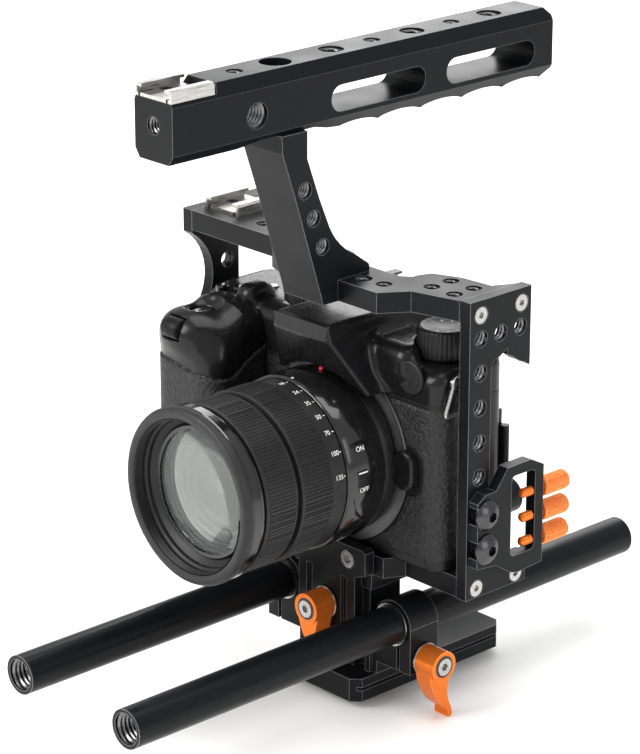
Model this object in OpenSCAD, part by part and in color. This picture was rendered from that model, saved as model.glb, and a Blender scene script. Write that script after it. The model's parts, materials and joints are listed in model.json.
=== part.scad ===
// Cage rig for a mirrorless video camera: cage, top handle, 15 mm rod base, cable clamp, camera and zoom lens.
// Units are millimetres. +Z is up, the lens looks along -Y, and the origin is the mouth of the tripod socket.

/* [Rods] */
// Outer diameter of each rod
rod_d = 15; // [15:0.5:16]
// Length of each rod
rod_len = 256; // [200:1:300]
// Distance between the two rod centres
rod_pitch = 60; // [58:0.5:62]
// Height of the rod centres above the foot of the base
rod_z = 33; // [33:0.5:35]
// Position of the rods' front ends
rod_front_y = -160; // [-180:1:-130]

/* [Base] */
// Width of the bottom plate
base_w = 43; // [40:1:46]
// Length of the bottom plate
base_len = 80; // [78:1:84]
// Thickness of the bottom plate
base_t = 9.5; // [9:0.5:10]

/* [Cage] */
// Outer face of the side plate beside the cable clamp
cage_x1 = 62; // [60:0.5:64]
// Outer face of the side plate beside the hand grip
cage_x0 = -87; // [-90:0.5:-86]
// Thickness of the side plates
side_t = 5; // [4:0.5:5]
// Thickness of the top and bottom plates
plate_t = 8; // [8:0.5:9]
// Height of the underside of the bottom plate
cage_z0 = 50.6; // [50:0.2:52]
// Height of the top plate's upper face
cage_z1 = 166.4; // [166:0.2:168]
// Extra height of the raised part over the grip
cage_step = 4; // [2:0.5:5]

/* [Handle] */
// Length of the grip bar
handle_len = 189; // [188:1:200]
// Width of the grip bar
handle_w = 20; // [18:0.5:22]
// Height of the grip bar
handle_h = 25.6; // [24:0.2:28]

/* [Lens] */
// Diameter of the lens barrel
lens_d = 67; // [60:0.5:68]
// Length of the lens from its mount to its front rim
lens_len = 75; // [75:0.5:78]
// Radius of the glass at the front
glass_r = 22.5; // [20:0.5:24]

/* [Hidden] */
$fn = 64;

black = "#1c1d20";
dark = "#2a2b2e";
rubber = "#17181a";
orange = "#e8661a";
silver = "#c9c8c4";

// radii of the threaded holes, at the thread's major diameter
quarter_r = 3.175;
three_eighths_r = 4.76;
run = 0.04;      // radial running clearance
gap = 0.3;       // clearance between pieces that pass each other

rod_r = rod_d / 2;
rod_x = rod_pitch / 2;
lens_z = 96.2;
mount_y = -30.9;
front_y = mount_y - lens_len;
lens_r = lens_d / 2;

// the cage spans these depths
side_y0 = -24;
side_y1 = 7.5;
cage_in0 = cage_x0 + side_t;
cage_in1 = cage_x1 - side_t;
floor_z = cage_z0 + plate_t;

// camera body
body_x0 = -78.5;
body_x1 = 51;
body_y0 = -28.5;
body_ym = -4;
body_y1 = 7.5;
deck_z = 138;
shell_z1 = 124;
hump_z = 151.5;
shoulder_z = 142;
drive_x = 37.5;
drive_y = -12;
mode_x = -32;
mode_y = -14.5;
rear_dial_x = -70;
rear_dial_y = 5.4;
rear_dial_z = 132;
grip_z1 = 137;
button_x = -62;
button_y = -43;
front_dial_z = 133.5;
release_x = 36.3;
release_z = 97;
cap_x = 37;
cap_z = 133;
wall = 2.2;

// handle
handle_y0 = -117.3;
handle_y1 = handle_y0 + handle_len;
handle_z0 = 224;
handle_z1 = handle_z0 + handle_h;
shoe_seat = 3.5;

// ---------- helpers ----------
function arc(cx, cy, r, a0, a1, n = 6) =
    [for (i = [0:n]) [cx + r * cos(a0 + (a1 - a0) * i / n), cy + r * sin(a0 + (a1 - a0) * i / n)]];

function round_rect(x0, y0, x1, y1, r, n = 6) = concat(
    arc(x1 - r, y1 - r, r, 0, 90, n), arc(x0 + r, y1 - r, r, 90, 180, n),
    arc(x0 + r, y0 + r, r, 180, 270, n), arc(x1 - r, y0 + r, r, 270, 360, n));

function cut_rect(x0, y0, x1, y1, c) = [[x0 + c, y0], [x1 - c, y0], [x1, y0 + c], [x1, y1 - c],
    [x1 - c, y1], [x0 + c, y1], [x0, y1 - c], [x0, y0 + c]];

// a (y, z) outline drawn out from x0 to x1
module along_x(x0, x1) translate([x0, 0, 0]) rotate([90, 0, 90]) linear_extrude(x1 - x0) children();

// an (x, z) outline drawn out from y0 to y1
module along_y(y0, y1) translate([0, y1, 0]) rotate([90, 0, 0]) linear_extrude(y1 - y0) children();

module along_z(z0, z1) translate([0, 0, z0]) linear_extrude(z1 - z0) children();

module rod_along_x(x0, x1, y, z, r) translate([x0, y, z]) rotate([0, 90, 0]) cylinder(h = x1 - x0, r = r);

module rod_along_y(y0, y1, x, z, r) translate([x, y0, z]) rotate([-90, 0, 0]) cylinder(h = y1 - y0, r = r);

module rod_along_z(z0, z1, x, y, r) translate([x, y, z0]) cylinder(h = z1 - z0, r = r);

module block(x0, x1, y0, y1, z0, z1) translate([x0, y0, z0]) cube([x1 - x0, y1 - y0, z1 - z0]);

// ---------- rod base ----------
base_y0 = -41;
base_chamfer = 3.5;
base_y1 = base_y0 + base_len;
block_y0 = -30;
block_y1 = -15.5;
block_x = 39.5;
collar_r = 9.4;
arm_z0 = 14.6;
slit_x = 33;
slit_w = 1.4;
lever_z = 19.8;
lever_y = (block_y0 + block_y1) / 2;
lever_hub_r = 6;
base_screw_x = [-9, 9];
lever_hub_len = 10.5;
column_y0 = -36;
column_y1 = -31.5;
riser_lever_z = 34.4;

module base_plate() color(black) difference() {
    along_z(0, base_t) polygon(cut_rect(-base_w / 2, base_y0, base_w / 2, base_y1, base_chamfer));
    // the grooves that a tripod's quick-release jaws hold
    for (s = [-1, 1])
        block(s * base_w / 2 - 1.5, s * base_w / 2 + 1.5, base_y0 - 1, base_y1 + 1, 4.6, 6);
    rod_along_z(-1, base_t + 1, 0, 0, quarter_r);
    rod_along_z(-1, base_t + 1, 0, 22, three_eighths_r);
    for (x = base_screw_x) {
        rod_along_z(-1, base_t + 1, x, lever_y, 2.1);
        rod_along_z(-1, 5.4, x, lever_y, 3.9);
    }
    // recess of the rubber pad
    block(-14.2, 14.2, 29.8, 40.2, -1, 0.8);
}

module base_rubber_pad() color(rubber) block(-14, 14, 30, 40, 0, 0.8);

module rod_clamp_block() color(black) difference() {
    union() {
        block(-base_w / 2, base_w / 2, block_y0, block_y1, base_t, rod_z);
        block(-block_x, block_x, block_y0, block_y1, arm_z0, rod_z);
        for (s = [-1, 1]) rod_along_y(block_y0, block_y1, s * rod_x, rod_z, collar_r);
        // the guide that the riser column slides in
        block(-19, 19, column_y1 + gap, block_y1, base_t, 44);
    }
    for (s = [-1, 1]) {
        rod_along_y(block_y0 - 1, block_y1 + 1, s * rod_x, rod_z, rod_r + run);
        // the slit that the lever closes
        block(s * slit_x - slit_w / 2, s * slit_x + slit_w / 2, block_y0 - 1, block_y1 + 1, arm_z0 - 1, rod_z);
        // pocket between the two arms
        along_z(base_t - 1, 22) polygon(round_rect(s * 13.2 - 3.2, block_y0 - 5, s * 13.2 + 3.2, block_y0 + 2.5, 2.4));
    }
    rod_along_x(12, block_x + 1, lever_y, lever_z, 2.5);
    for (x = base_screw_x) rod_along_z(base_t - 1, 21.5, x, lever_y, 1.7);
    // channel of the riser's tongue, and its locking screw
    block(-8, 8, column_y1 - 1, -27, base_t - 1, 50);
    rod_along_y(-28, -17, 0, riser_lever_z, 2.1);
}

module base_screws() color(silver) for (x = base_screw_x) difference() {
    union() {
        rod_along_z(2.2, 20.5, x, lever_y, 1.6);
        rod_along_z(2.2, 5.35, x, lever_y, 3.5);
    }
    translate([x, lever_y, 1]) cylinder(h = 2.8, r = 1.7, $fn = 6);
}

module rod(s) color(dark) difference() {
    rod_along_y(rod_front_y, rod_front_y + rod_len, s * rod_x, rod_z, rod_r);
    rod_along_y(rod_front_y - 1, rod_front_y + rod_len + 1, s * rod_x, rod_z, 6);
}

// the lever's outline, hub at the origin, claw hanging along -y and curling towards +x
function lever_outline() = concat(
    arc(0, 0, lever_hub_r - 0.5, -12, 190, 12),
    arc(17.5, -0.2, 23.6, 184, 236, 10),
    arc(4.6, -21.2, 1.5, 255, 400, 6),
    arc(16.6, -11.3, 13.2, 214, 160, 10));

module lever_body(head = lever_hub_len) {
    difference() {
        union() {
            linear_extrude(head) circle(r = lever_hub_r);
            translate([0, 0, 1.5]) linear_extrude(head - 3) polygon(lever_outline());
        }
        translate([0, 0, head - 1.6]) cylinder(h = 3, r = 4.1);
        translate([0, 0, -1]) cylinder(h = head + 2, r = 2.6);
    }
}

module rod_lever() color(orange)
    translate([block_x + gap, lever_y, lever_z]) rotate([90, 0, 90]) lever_body();

// pan-head screw of a lever, its axis along +z from the hub's foot
module lever_screw_body(shank, head = lever_hub_len) difference() {
    union() {
        translate([0, 0, -shank]) cylinder(h = shank + head - 1.4, r = 2);
        translate([0, 0, head - 1.55]) cylinder(h = 1.9, r = 3.4);
    }
    translate([0, 0, head - 0.8]) cylinder(h = 3, r = 1.6, $fn = 6);
}

module rod_lever_screw() color(silver)
    translate([block_x + gap, lever_y, lever_z]) rotate([90, 0, 90]) lever_screw_body(24);

// ---------- riser ----------
module riser_column() color(black) difference() {
    union() {
        along_y(column_y0, column_y1) polygon([[-15.5, 24], [15.5, 24], [15.5, cage_z0 - 1.6],
            [21, cage_z0 + 0.6], [21, floor_z + 1.4], [19.5, floor_z + 2.4], [-19.5, floor_z + 2.4],
            [-21, floor_z + 1.4], [-21, cage_z0 + 0.6], [-15.5, cage_z0 - 1.6]]);
        // tongue in the clamp block's channel
        block(-7.7, 7.7, column_y1 - 1, -27.4, 24, cage_z0 - 1);
        // arm under the cage's bottom plate
        block(-21, 21, column_y1 - 1, 4, cage_z0 - 6, cage_z0);
    }
    // grooves down the column's face
    for (x = [-9.5, 9.5]) block(x - 1.5, x + 1.5, column_y0 - 1, column_y0 + 1.2, 20, cage_z0 - 3);
    // the slot that the locking screw passes through
    along_y(column_y0 - 1, -26) polygon(round_rect(-2.3, riser_lever_z - 11, 2.3, riser_lever_z + 2.3, 2.2));
    for (s = [-1, 1]) {
        rod_along_y(column_y0 - 1, column_y1 + 4, s * 12, 55.6, 1.6);
        rod_along_y(column_y0 - 1, column_y0 + 2, s * 12, 55.6, 3.6);
    }
    rod_along_z(cage_z0 - 7, cage_z0 + 1, 0, -8, 3.4);
    rod_along_z(cage_z0 - 7, cage_z0 - 3, 0, -8, 7);
}

module riser_screws() color(silver) for (s = [-1, 1]) difference() {
    union() {
        rod_along_y(column_y0 + 1.8, column_y1 + 3.5, s * 12, 55.6, 1.5);
        rod_along_y(column_y0 - 0.6, column_y0 + 2, s * 12, 55.6, 3.4);
    }
    translate([s * 12, column_y0 + 0.8, 55.6]) rotate([90, 0, 0]) cylinder(h = 3, r = 1.7, $fn = 6);
}

module riser_lever() color(orange)
    translate([0, column_y0 - gap, riser_lever_z]) rotate([90, 0, 0]) lever_body();

module riser_lever_screw() color(silver)
    translate([0, column_y0 - gap, riser_lever_z]) rotate([90, 0, 0]) lever_screw_body(18);

// ---------- cage ----------
neck_y1 = -12.7;
side_holes_y = -18.2;
side_hole_z = [98.2, 111.6, 125.1, 138.5, 151.6];
bolt_z = [71.4, 84.8];
// how far the corner screws reach into the top and bottom plates
screw_bite = 3.2;

module cage_bottom_plate() color(black) difference() {
    along_z(cage_z0, floor_z) polygon([[cage_in0, -24], [-30, -24], [-26, -31.3], [26, -31.3], [30, -23.5],
        [cage_in1, -23.5], [cage_in1, side_y1], [30, side_y1], [26, 3], [-40, 3], [-44, side_y1],
        [cage_in0, side_y1]]);
    rod_along_z(cage_z0 - 1, floor_z + 1, 0, -8, quarter_r + 0.3);
    for (x = [-66, -54, -42, 46]) rod_along_z(cage_z0 - 1, floor_z + 1, x, -8, quarter_r);
    for (y = [-18.3, 2.6]) {
        rod_along_x(cage_in1 - screw_bite, cage_in1 + 1, y, 54.2, 1.5);
        rod_along_x(cage_in0 - 1, cage_in0 + screw_bite, y, 54.2, 1.5);
    }
    for (s = [-1, 1]) rod_along_y(-32, -27.5, s * 12, 55.6, 1.6);
}

module camera_screw() color(silver) difference() {
    union() {
        rod_along_z(cage_z0 - 3.1, floor_z + 2.9, 0, -8, 3.1);
        rod_along_z(cage_z0 - 5.6, cage_z0 - 3.05, 0, -8, 6.6);
    }
    block(-5, 5, -8.7, -7.3, cage_z0 - 7, cage_z0 - 4.4);
}

function side_plate_outline() = concat(
    [[side_y0, cage_z0], [side_y1, cage_z0], [side_y1, 62]],
    arc(neck_y1 + 4, 66, 4, 270, 180),
    arc(neck_y1 + 4, 138.5, 4, 180, 90),
    [[-4.5, 144.8], [-4.5, 142.5], [-1.5, 141], [1.5, 138.8], [4.5, 137.6], [7, 135.9],
     [side_y1, 136.2], [side_y1, cage_z1], [side_y0, cage_z1]]);

module cage_side_plate() color(black) difference() {
    along_x(cage_in1, cage_x1) polygon(side_plate_outline());
    for (z = side_hole_z) rod_along_x(cage_in1 - 1, cage_x1 + 1, side_holes_y, z, quarter_r);
    for (y = [-8.1, 2.1]) rod_along_x(cage_in1 - 1, cage_x1 + 1, y, 151.6, quarter_r);
    for (z = bolt_z) rod_along_x(cage_in1 - 1, cage_x1 + 1, side_holes_y, z, quarter_r);
    for (y = [-18.3, 2.6]) screw_seats_x(y, cage_in1, cage_x1);
}

// the two countersunk seats, low and high, at one depth of a side plate
module screw_seats_x(y, x0, x1) for (z = [54.2, 160.6]) {
    rod_along_x(x0 - 1, x1 + 1, y, z, 1.7);
    if (x1 > 0) rod_along_x(x1 - 1.8, x1 + 1, y, z, 3.4);
    else rod_along_x(x0 - 1, x0 + 1.8, y, z, 3.4);
}

function left_plate_outline() = concat(
    [[-34, cage_z0], [side_y1, cage_z0], [side_y1, 128], [-6.5, 136], [-6.5, 152], [side_y1, 160],
     [side_y1, cage_z1 + cage_step], [-30.5, cage_z1 + cage_step], [-30.5, 161]],
    arc(-41.3, 142.5, 21.3, 55, -30, 10),
    [[-39.5, 118], [-39.5, 74], [-34, 68]]);

module cage_left_plate() color(black) difference() {
    along_x(cage_x0, cage_in0) polygon(left_plate_outline());
    for (z = [76, 89, 102, 115, 146.6]) rod_along_x(cage_x0 - 1, cage_in0 + 1, -12.4, z, quarter_r);
    for (y = [-18.3, 2.6]) {
        rod_along_x(cage_x0 - 1, cage_in0 + 1, y, 54.2, 1.7);
        rod_along_x(cage_x0 - 1, cage_x0 + 1.8, y, 54.2, 3.4);
        rod_along_x(cage_x0 - 1, cage_in0 + 1, y, 166.2, 1.7);
        rod_along_x(cage_x0 - 1, cage_x0 + 1.8, y, 166.2, 3.4);
    }
    // a long window beside the card door
    along_x(cage_x0 - 1, cage_in0 + 1) polygon(round_rect(-4, 68, 3, 120, 3));
}

module cage_top_plate() color(black) difference() {
    union() {
        // right part, level with the side plate's top
        along_z(cage_z1 - plate_t, cage_z1) polygon([[-36, -30.5], [-12, -40], [30.4, -40], [37.5, -29.5],
            [cage_in1, -24.5], [cage_in1, side_y1 - 2], [55.8, 2], [52.7, -3.9], [39.1, -5], [28, -9.5],
            [26, -14.7], [26, -17.5], [22, -20.4], [-22, -20.4], [-27, -15], [-36, -5]]);
        // raised part over the grip
        along_z(cage_z1 + cage_step - plate_t, cage_z1 + cage_step) polygon([[cage_in0, -30.5],
            [-30, -30.5], [-30, -12], [-36, -2], [-50, 0], [-60, side_y1], [cage_in0, side_y1]]);
    }
    for (p = [[15.5, -31.8], [25, -31], [39, -20.5], [39, -10.7], [50.5, -10.7], [50.5, -20.5], [-20, -27]])
        rod_along_z(cage_z1 - plate_t - 1, cage_z1 + 1, p[0], p[1], quarter_r);
    rod_along_z(150, 180, -50, -21.8, quarter_r);
    for (s = [-1, 1]) rod_along_z(cage_z1 - plate_t - 1, cage_z1 + 1, s * 6, -33, 2.1);
    for (s = [-1, 1]) rod_along_z(150, 180, cage_shoe_x + s * 5, cage_shoe_y + 10, 1.4);
    for (y = [-18.3, 2.6]) {
        rod_along_x(cage_in1 - screw_bite, cage_in1 + 1, y, 160.6, 1.5);
        rod_along_x(cage_in0 - 1, cage_in0 + screw_bite, y, 166.2, 1.5);
    }
}

module corner_screw(x, s, y, z) translate([x, y, z]) rotate([0, s * 90, 0]) difference() {
    union() {
        translate([0, 0, -side_t - screw_bite + 0.3]) cylinder(h = side_t + screw_bite - 0.4, r = 1.4);
        translate([0, 0, -1.7]) cylinder(h = 1.6, r = 3.1);
    }
    translate([0, 0, -1]) cylinder(h = 2, r = 1.3, $fn = 6);
}

module cage_corner_screws() color(silver) for (y = [-18.3, 2.6]) {
    corner_screw(cage_x1, 1, y, 54.2);
    corner_screw(cage_x1, 1, y, 160.6);
    corner_screw(cage_x0, -1, y, 54.2);
    corner_screw(cage_x0, -1, y, 166.2);
}

// accessory shoe: a base with two rails curled over it, its foot at z = 0 and its front edge at y = 0
shoe_w = 19.4;
shoe_len = 19.5;
function shoe_outline() = let (w = shoe_w / 2) [[-w, 0], [w, 0], [w, 3.6], [w - 0.8, 4.4], [w - 3.6, 4.4],
    [w - 3.6, 3.3], [w - 1.2, 3.3], [w - 1.2, 1.2], [-w + 1.2, 1.2], [-w + 1.2, 3.3], [-w + 3.6, 3.3],
    [-w + 3.6, 4.4], [-w + 0.8, 4.4], [-w, 3.6]];

module shoe() difference() {
    along_y(0, shoe_len) polygon(shoe_outline());
    for (s = [-1, 1]) rod_along_z(-1, 3, s * 5, 10, 1.5);
    for (s = [-1, 1]) rod_along_z(0.5, 3, s * 5, 10, 2.3);
    // relief slot that lets the rails spring
    for (s = [-1, 1]) block(s * 7.3 - 0.5, s * 7.3 + 0.5, -1, 6, -1, 3);
}

cage_shoe_x = -72.5;
cage_shoe_y = -23.5;

module cage_shoe() color(silver) translate([cage_shoe_x, cage_shoe_y, cage_z1 + cage_step]) shoe();

module handle_shoe() color(silver) translate([0, handle_y0, handle_z1 - shoe_seat]) shoe();

module shoe_screws() color(silver) {
    for (p = [[cage_shoe_x, cage_shoe_y, cage_z1 + cage_step], [0, handle_y0, handle_z1 - shoe_seat]])
        for (s = [-1, 1]) translate([p[0] + s * 5, p[1] + 10, p[2]]) difference() {
            union() {
                translate([0, 0, -6]) cylinder(h = 6.6, r = 1.35);
                translate([0, 0, 0.55]) cylinder(h = 0.65, r = 2.1);
            }
            translate([0, 0, 0.8]) cylinder(h = 2, r = 1, $fn = 6);
        }
}

// ---------- handle ----------
finger_pitch = 21.6;
finger_r = 34;
finger_y0 = -28;
// how much deeper the bar is along the fingers
grip_drop = 1.8;
slot_z = 234.2;
bolt_y = -61;
side_thread_y = -78.4;
side_thread_z = 235;
// depth of the threads in the bar's top, down to the slots
thread_depth = 10.6;

// the bar's side outline in (y, z), with the finger grooves cut below it
module handle_side() difference() {
    polygon([[handle_y0, handle_z0], [-86, handle_z0], [-76, handle_z0 + 1.4], [-50, handle_z0 + 1.4],
        [-43, handle_z0 - 0.4], [-30, handle_z0 - grip_drop], [handle_y1 - 4, handle_z0 - grip_drop],
        [handle_y1, handle_z0 + 2], [handle_y1, handle_z1 - 3], [handle_y1 - 3, handle_z1],
        [handle_y0 + 22, handle_z1], [handle_y0 + 20.8, handle_z1 - shoe_seat],
        [handle_y0, handle_z1 - shoe_seat]]);
    for (i = [0:4]) translate([finger_y0 + finger_pitch * i, handle_z0 - grip_drop - finger_r + 1.8])
        circle(r = finger_r, $fn = 180);
}

module handle_bar() color(black) difference() {
    intersection() {
        along_x(-handle_w / 2, handle_w / 2) handle_side();
        along_y(handle_y0 - 1, handle_y1 + 1) let (w = handle_w / 2) polygon([[-w + 3, handle_z0 - 3],
            [w - 3, handle_z0 - 3], [w - 3, handle_z0 - 1], [w, handle_z0 + 3.4], [w, handle_z1 - 5],
            [w - 2.6, handle_z1], [-w + 2.6, handle_z1], [-w, handle_z1 - 5], [-w, handle_z0 + 3.4],
            [-w + 3, handle_z0 - 1]]);
    }
    for (y0 = [-43, 15]) along_x(-handle_w, handle_w)
        polygon(round_rect(y0, slot_z - 4.9, y0 + 47, slot_z + 4.9, 4.8));
    for (y = [-80.2, -13.8, 27]) rod_along_z(handle_z1 - thread_depth, handle_z1 + 1, 0, y, quarter_r);
    for (y = [-34, 6.6, 47]) rod_along_z(handle_z1 - thread_depth, handle_z1 + 1, 0, y, three_eighths_r);
    rod_along_z(handle_z1 - 9, handle_z1 + 1, 0, bolt_y, 6);
    rod_along_z(handle_z0 - 1, handle_z1, 0, bolt_y, 3.2);
    rod_along_x(-handle_w, handle_w, side_thread_y, side_thread_z, three_eighths_r);
    rod_along_y(handle_y0 - 1, handle_y0 + 16, 0, 236.8, quarter_r);
    for (s = [-1, 1]) rod_along_z(238, handle_z1, s * 5, handle_y0 + 10, 1.4);
}

function post_outline() = concat(
    [[-67.4, handle_z0 + 1.4], [-67.2, 219], [-61, 201], [-48.6, 162], [-47.8, cage_z1 - plate_t],
     [-40.2, cage_z1 - plate_t], [-40.2, cage_z1], [-24.4, cage_z1], [-24.4, 168.2]],
    arc(-24.4 - 2.2, 168.2, 2.2, 0, 60, 4),
    [[-31.5, 174.4]],
    arc(-20, 199, 27, 245, 205, 6),
    [[-49.3, 199], [-55.2, 215], [-55.2, handle_z0 + 1.4]]);

module handle_post() color(black) difference() {
    along_x(-10.5, 10.5) polygon(post_outline());
    for (p = [[-56.4, 203.4], [-52.2, 192.2], [-47.8, 180.7]]) rod_along_x(-12, 12, p[0], p[1], quarter_r);
    rod_along_z(handle_z0 - 14, handle_z0 + 2, 0, bolt_y, 2.6);
    for (s = [-1, 1]) {
        rod_along_z(cage_z1 - 1, 182, s * 6, -33, 2.2);
        rod_along_z(170.4, 190, s * 6, -33, 3.9);
    }
}

module handle_bolts() color(dark) {
    difference() {
        union() {
            rod_along_z(handle_z0 - 13, handle_z1 - 8.9, 0, bolt_y, 2.5);
            rod_along_z(handle_z1 - 8.95, handle_z1 - 4, 0, bolt_y, 5.4);
        }
        translate([0, bolt_y, handle_z1 - 7]) cylinder(h = 4, r = 2.9, $fn = 6);
    }
    for (s = [-1, 1]) difference() {
        union() {
            rod_along_z(cage_z1 - plate_t + 0.5, 170.5, s * 6, -33, 2);
            rod_along_z(170.45, 174.4, s * 6, -33, 3.6);
        }
        translate([s * 6, -33, 172.4]) cylinder(h = 4, r = 1.8, $fn = 6);
    }
}

// ---------- cable clamp ----------
clamp_x0 = cage_x1;
clamp_x1 = clamp_x0 + 4.5;
screw_z = [67.6, 77.3, 87];
clamp_y1 = 11.7;

module cable_clamp_plate() color(black) difference() {
    along_x(clamp_x0, clamp_x1) polygon([[-23, 64.5], [-13, 63.2], [-5, 58.2], [-1.3, 57.2], [clamp_y1, 58],
        [clamp_y1, 97], [4.6, 100.6], [-7.6, 100.4], [-13.5, 92.8], [-19, 92.8], [-23, 90]]);
    along_x(clamp_x0 - 1, clamp_x1 + 1) polygon(round_rect(-5.4, 64.5, 7.2, 96.3, 2));
    // slots open to the front, so the clamp can slide off its bolts
    for (z = bolt_z) {
        block(clamp_x0 - 1, clamp_x1 + 1, -30, side_holes_y, z - 3.3, z + 3.3);
        rod_along_x(clamp_x0 - 1, clamp_x1 + 1, side_holes_y, z, 3.3);
    }
    for (z = screw_z) rod_along_y(6, clamp_y1 + 1, (clamp_x0 + clamp_x1) / 2, z, 1.6 + run);
}

module cable_clamp_bolts() color(silver) for (z = bolt_z) difference() {
    union() {
        rod_along_x(cage_in1 - 0.5, clamp_x1 + 0.1, side_holes_y, z, 3.1);
        translate([clamp_x1 + 0.05, side_holes_y, z]) rotate([0, 90, 0]) rotate_extrude()
            polygon(concat([[0, 0], [5.9, 0], [5.9, 0.55]], arc(0, -4.4, 7.7, 40, 90, 8)));
    }
    translate([clamp_x1 + 1.4, side_holes_y, z]) rotate([0, 90, 0]) cylinder(h = 4, r = 2.1, $fn = 6);
}

module cable_screw(z) color(orange) {
    x = (clamp_x0 + clamp_x1) / 2;
    rod_along_y(1.6, clamp_y1 + 1.5, x, z, 1.6);
    translate([x, clamp_y1 + 0.6, z]) rotate([-90, 0, 0]) rotate_extrude()
        polygon([[0, 0], [3, 0], [3.8, 0.8], [3.8, 12.2], [2.8, 13.4], [0, 13.4]]);
}

// ---------- camera ----------
// plan outline of the body shell at its full width
function body_plan(inset) = round_rect(body_x0 + inset, body_y0 + inset, body_x1 - inset, body_y1 - inset, 7);

module camera_front_shell() color(black) difference() {
    intersection() {
        along_z(floor_z, shell_z1) polygon(body_plan(0));
        block(-100, 100, -60, body_ym, 0, 200);
    }
    intersection() {
        along_z(floor_z + wall, shell_z1 + 1) polygon(body_plan(wall));
        block(-100, 100, -60, body_ym + 1, 0, 200);
    }
    rod_along_y(body_y0 - 5, body_y0 + 5, 0, lens_z, 25);
    rod_along_z(floor_z - 1, floor_z + 3, 0, -8, quarter_r);
    rod_along_y(body_y0 - 5, body_y0 + 8, release_x, release_z, 3.4);
}

module camera_rear_shell() color(black) difference() {
    intersection() {
        along_z(floor_z, shell_z1) polygon(body_plan(0));
        block(-100, 100, body_ym + 0.05, 60, 0, 200);
    }
    intersection() {
        along_z(floor_z + wall, shell_z1 + 1) polygon(body_plan(wall));
        block(-100, 100, body_ym - 1, body_y1 - wall - 4, 0, 200);
    }
    // recess of the folding screen
    block(-34, 46.5, body_y1 - 3.6, body_y1 + 1, 64, 114);
    rod_along_z(floor_z - 1, floor_z + 3, 0, -8, quarter_r);
}

module camera_top_cover() color(black) difference() {
    union() {
        along_z(shell_z1 + 0.05, deck_z) polygon(body_plan(0));
        // higher shoulder on the grip's side
        along_z(shell_z1 + 0.05, shoulder_z) polygon(round_rect(body_x0, body_y0, -20, body_y1, 7));
        // prism hump over the lens
        along_y(-49.5, 14) polygon([[-21, shell_z1 + 0.05], [21, shell_z1 + 0.05], [18.5, 140], [13.5, 149.5],
            [9, hump_z], [-9, hump_z], [-13.5, 149.5], [-18.5, 140]]);
    }
    along_z(shell_z1 - 1, deck_z - wall) polygon(body_plan(wall));
    along_y(-47, 15) polygon([[-18, shell_z1 - 1], [18, shell_z1 - 1], [15.5, 140], [11.5, 147.5], [-11.5, 147.5],
        [-15.5, 140]]);
    // the hump stays clear of the lens
    rod_along_y(-51, body_y0, 0, lens_z, lens_r + 1.2);
    // seats of the dials
    rod_along_z(deck_z - 3, 160, drive_x, drive_y, 3);
    rod_along_z(deck_z - 3, 160, mode_x, mode_y, 3);
    rod_along_x(rear_dial_x - 0.3, rear_dial_x + 9.3, rear_dial_y, rear_dial_z, 4.6);
}

module camera_grip() color(rubber) difference() {
    along_z(floor_z, grip_z1) polygon(concat(
        [[-77, body_y0 - 0.05]], arc(-66.5, -49, 10, 190, 270, 6), arc(-56, -47.5, 11.5, 270, 350, 6),
        [[-42, -33], [-38, body_y0 - 0.05]]));
    along_z(floor_z + 2, 112) polygon([[-73, -32], [-73, -50], [-50, -50], [-50, -32]]);
    rod_along_z(grip_z1 - 8, grip_z1 + 1, button_x, button_y, 4.8);
    rod_along_x(-67.3, -57.7, -56.5, front_dial_z, 4.6);
}

module battery() color("#3a3a3c") block(-72, -51, -49, -33, floor_z + 2.5, 109);

module sensor_unit() color("#3b4a42") union() {
    block(-17, 17, -12, -10.5, lens_z - 14, lens_z + 14);
    block(-9, 9, -12.8, -11.9, lens_z - 6.8, lens_z + 6.8);
}

module main_board() color("#2f6b3c") block(-45, 45, -7.6, -6, 66, 120);

module lens_mount_ring() color(silver) difference() {
    rod_along_y(mount_y, body_y0 + 1.5, 0, lens_z, 24.9);
    rod_along_y(mount_y - 1, body_y0 + 5, 0, lens_z, 19);
}

module shutter_button() color(silver) {
    rod_along_z(grip_z1 - 6, grip_z1 + 2.4, button_x, button_y, 4.7);
}

module dial(x, y, r, z0, z1, spindle) {
    difference() {
        rod_along_z(z0, z1, x, y, r);
        for (i = [0:23]) translate([x + (r + 0.15) * cos(i * 15), y + (r + 0.15) * sin(i * 15), z0 + 1])
            cylinder(h = z1 - z0, r = 0.55, $fn = 14);
    }
    rod_along_z(spindle, z0 + 0.5, x, y, 3 - run);
}

module mode_dial() color(dark) dial(mode_x, mode_y, 10, shoulder_z + 0.15, 150, deck_z - 2.5);

module drive_dial() color(dark) dial(drive_x, drive_y, 10.4, deck_z + 0.15, 150, deck_z - 2.5);

module front_dial() color(dark) difference() {
    rod_along_x(-67, -58, -56.5, front_dial_z, 4.2);
    rod_along_x(-68, -57, -56.5, front_dial_z, 1);
}

module rear_dial() color(dark) rod_along_x(rear_dial_x, rear_dial_x + 9, rear_dial_y, rear_dial_z, 4.2);

module lens_release_button() color(black) {
    rod_along_y(body_y0 - 4.2, body_y0 - 1.8, release_x, release_z, 5.6);
    rod_along_y(body_y0 - 2, body_y0 + 4, release_x, release_z, 3.4 - run);
}

module sync_socket_cap() color(rubber) rod_along_y(body_y0 - 1.2, body_y0, cap_x, cap_z, 6.4);

module hot_shoe() color(silver) translate([0, -9, hump_z]) difference() {
    along_y(0, 18) polygon([[-10, 0], [10, 0], [10, 3.6], [6.2, 3.6], [6.2, 2.6], [8.6, 2.6], [8.6, 1],
        [-8.6, 1], [-8.6, 2.6], [-6.2, 2.6], [-6.2, 3.6], [-10, 3.6]]);
    rod_along_z(-1, 2, 0, 9, 1.2);
}

module eyecup() color(rubber) difference() {
    along_y(14.05, 27) polygon(round_rect(-21, 117, 21, 146, 6));
    along_y(13, 28) polygon(round_rect(-13, 124, 13, 141, 5));
}

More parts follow.
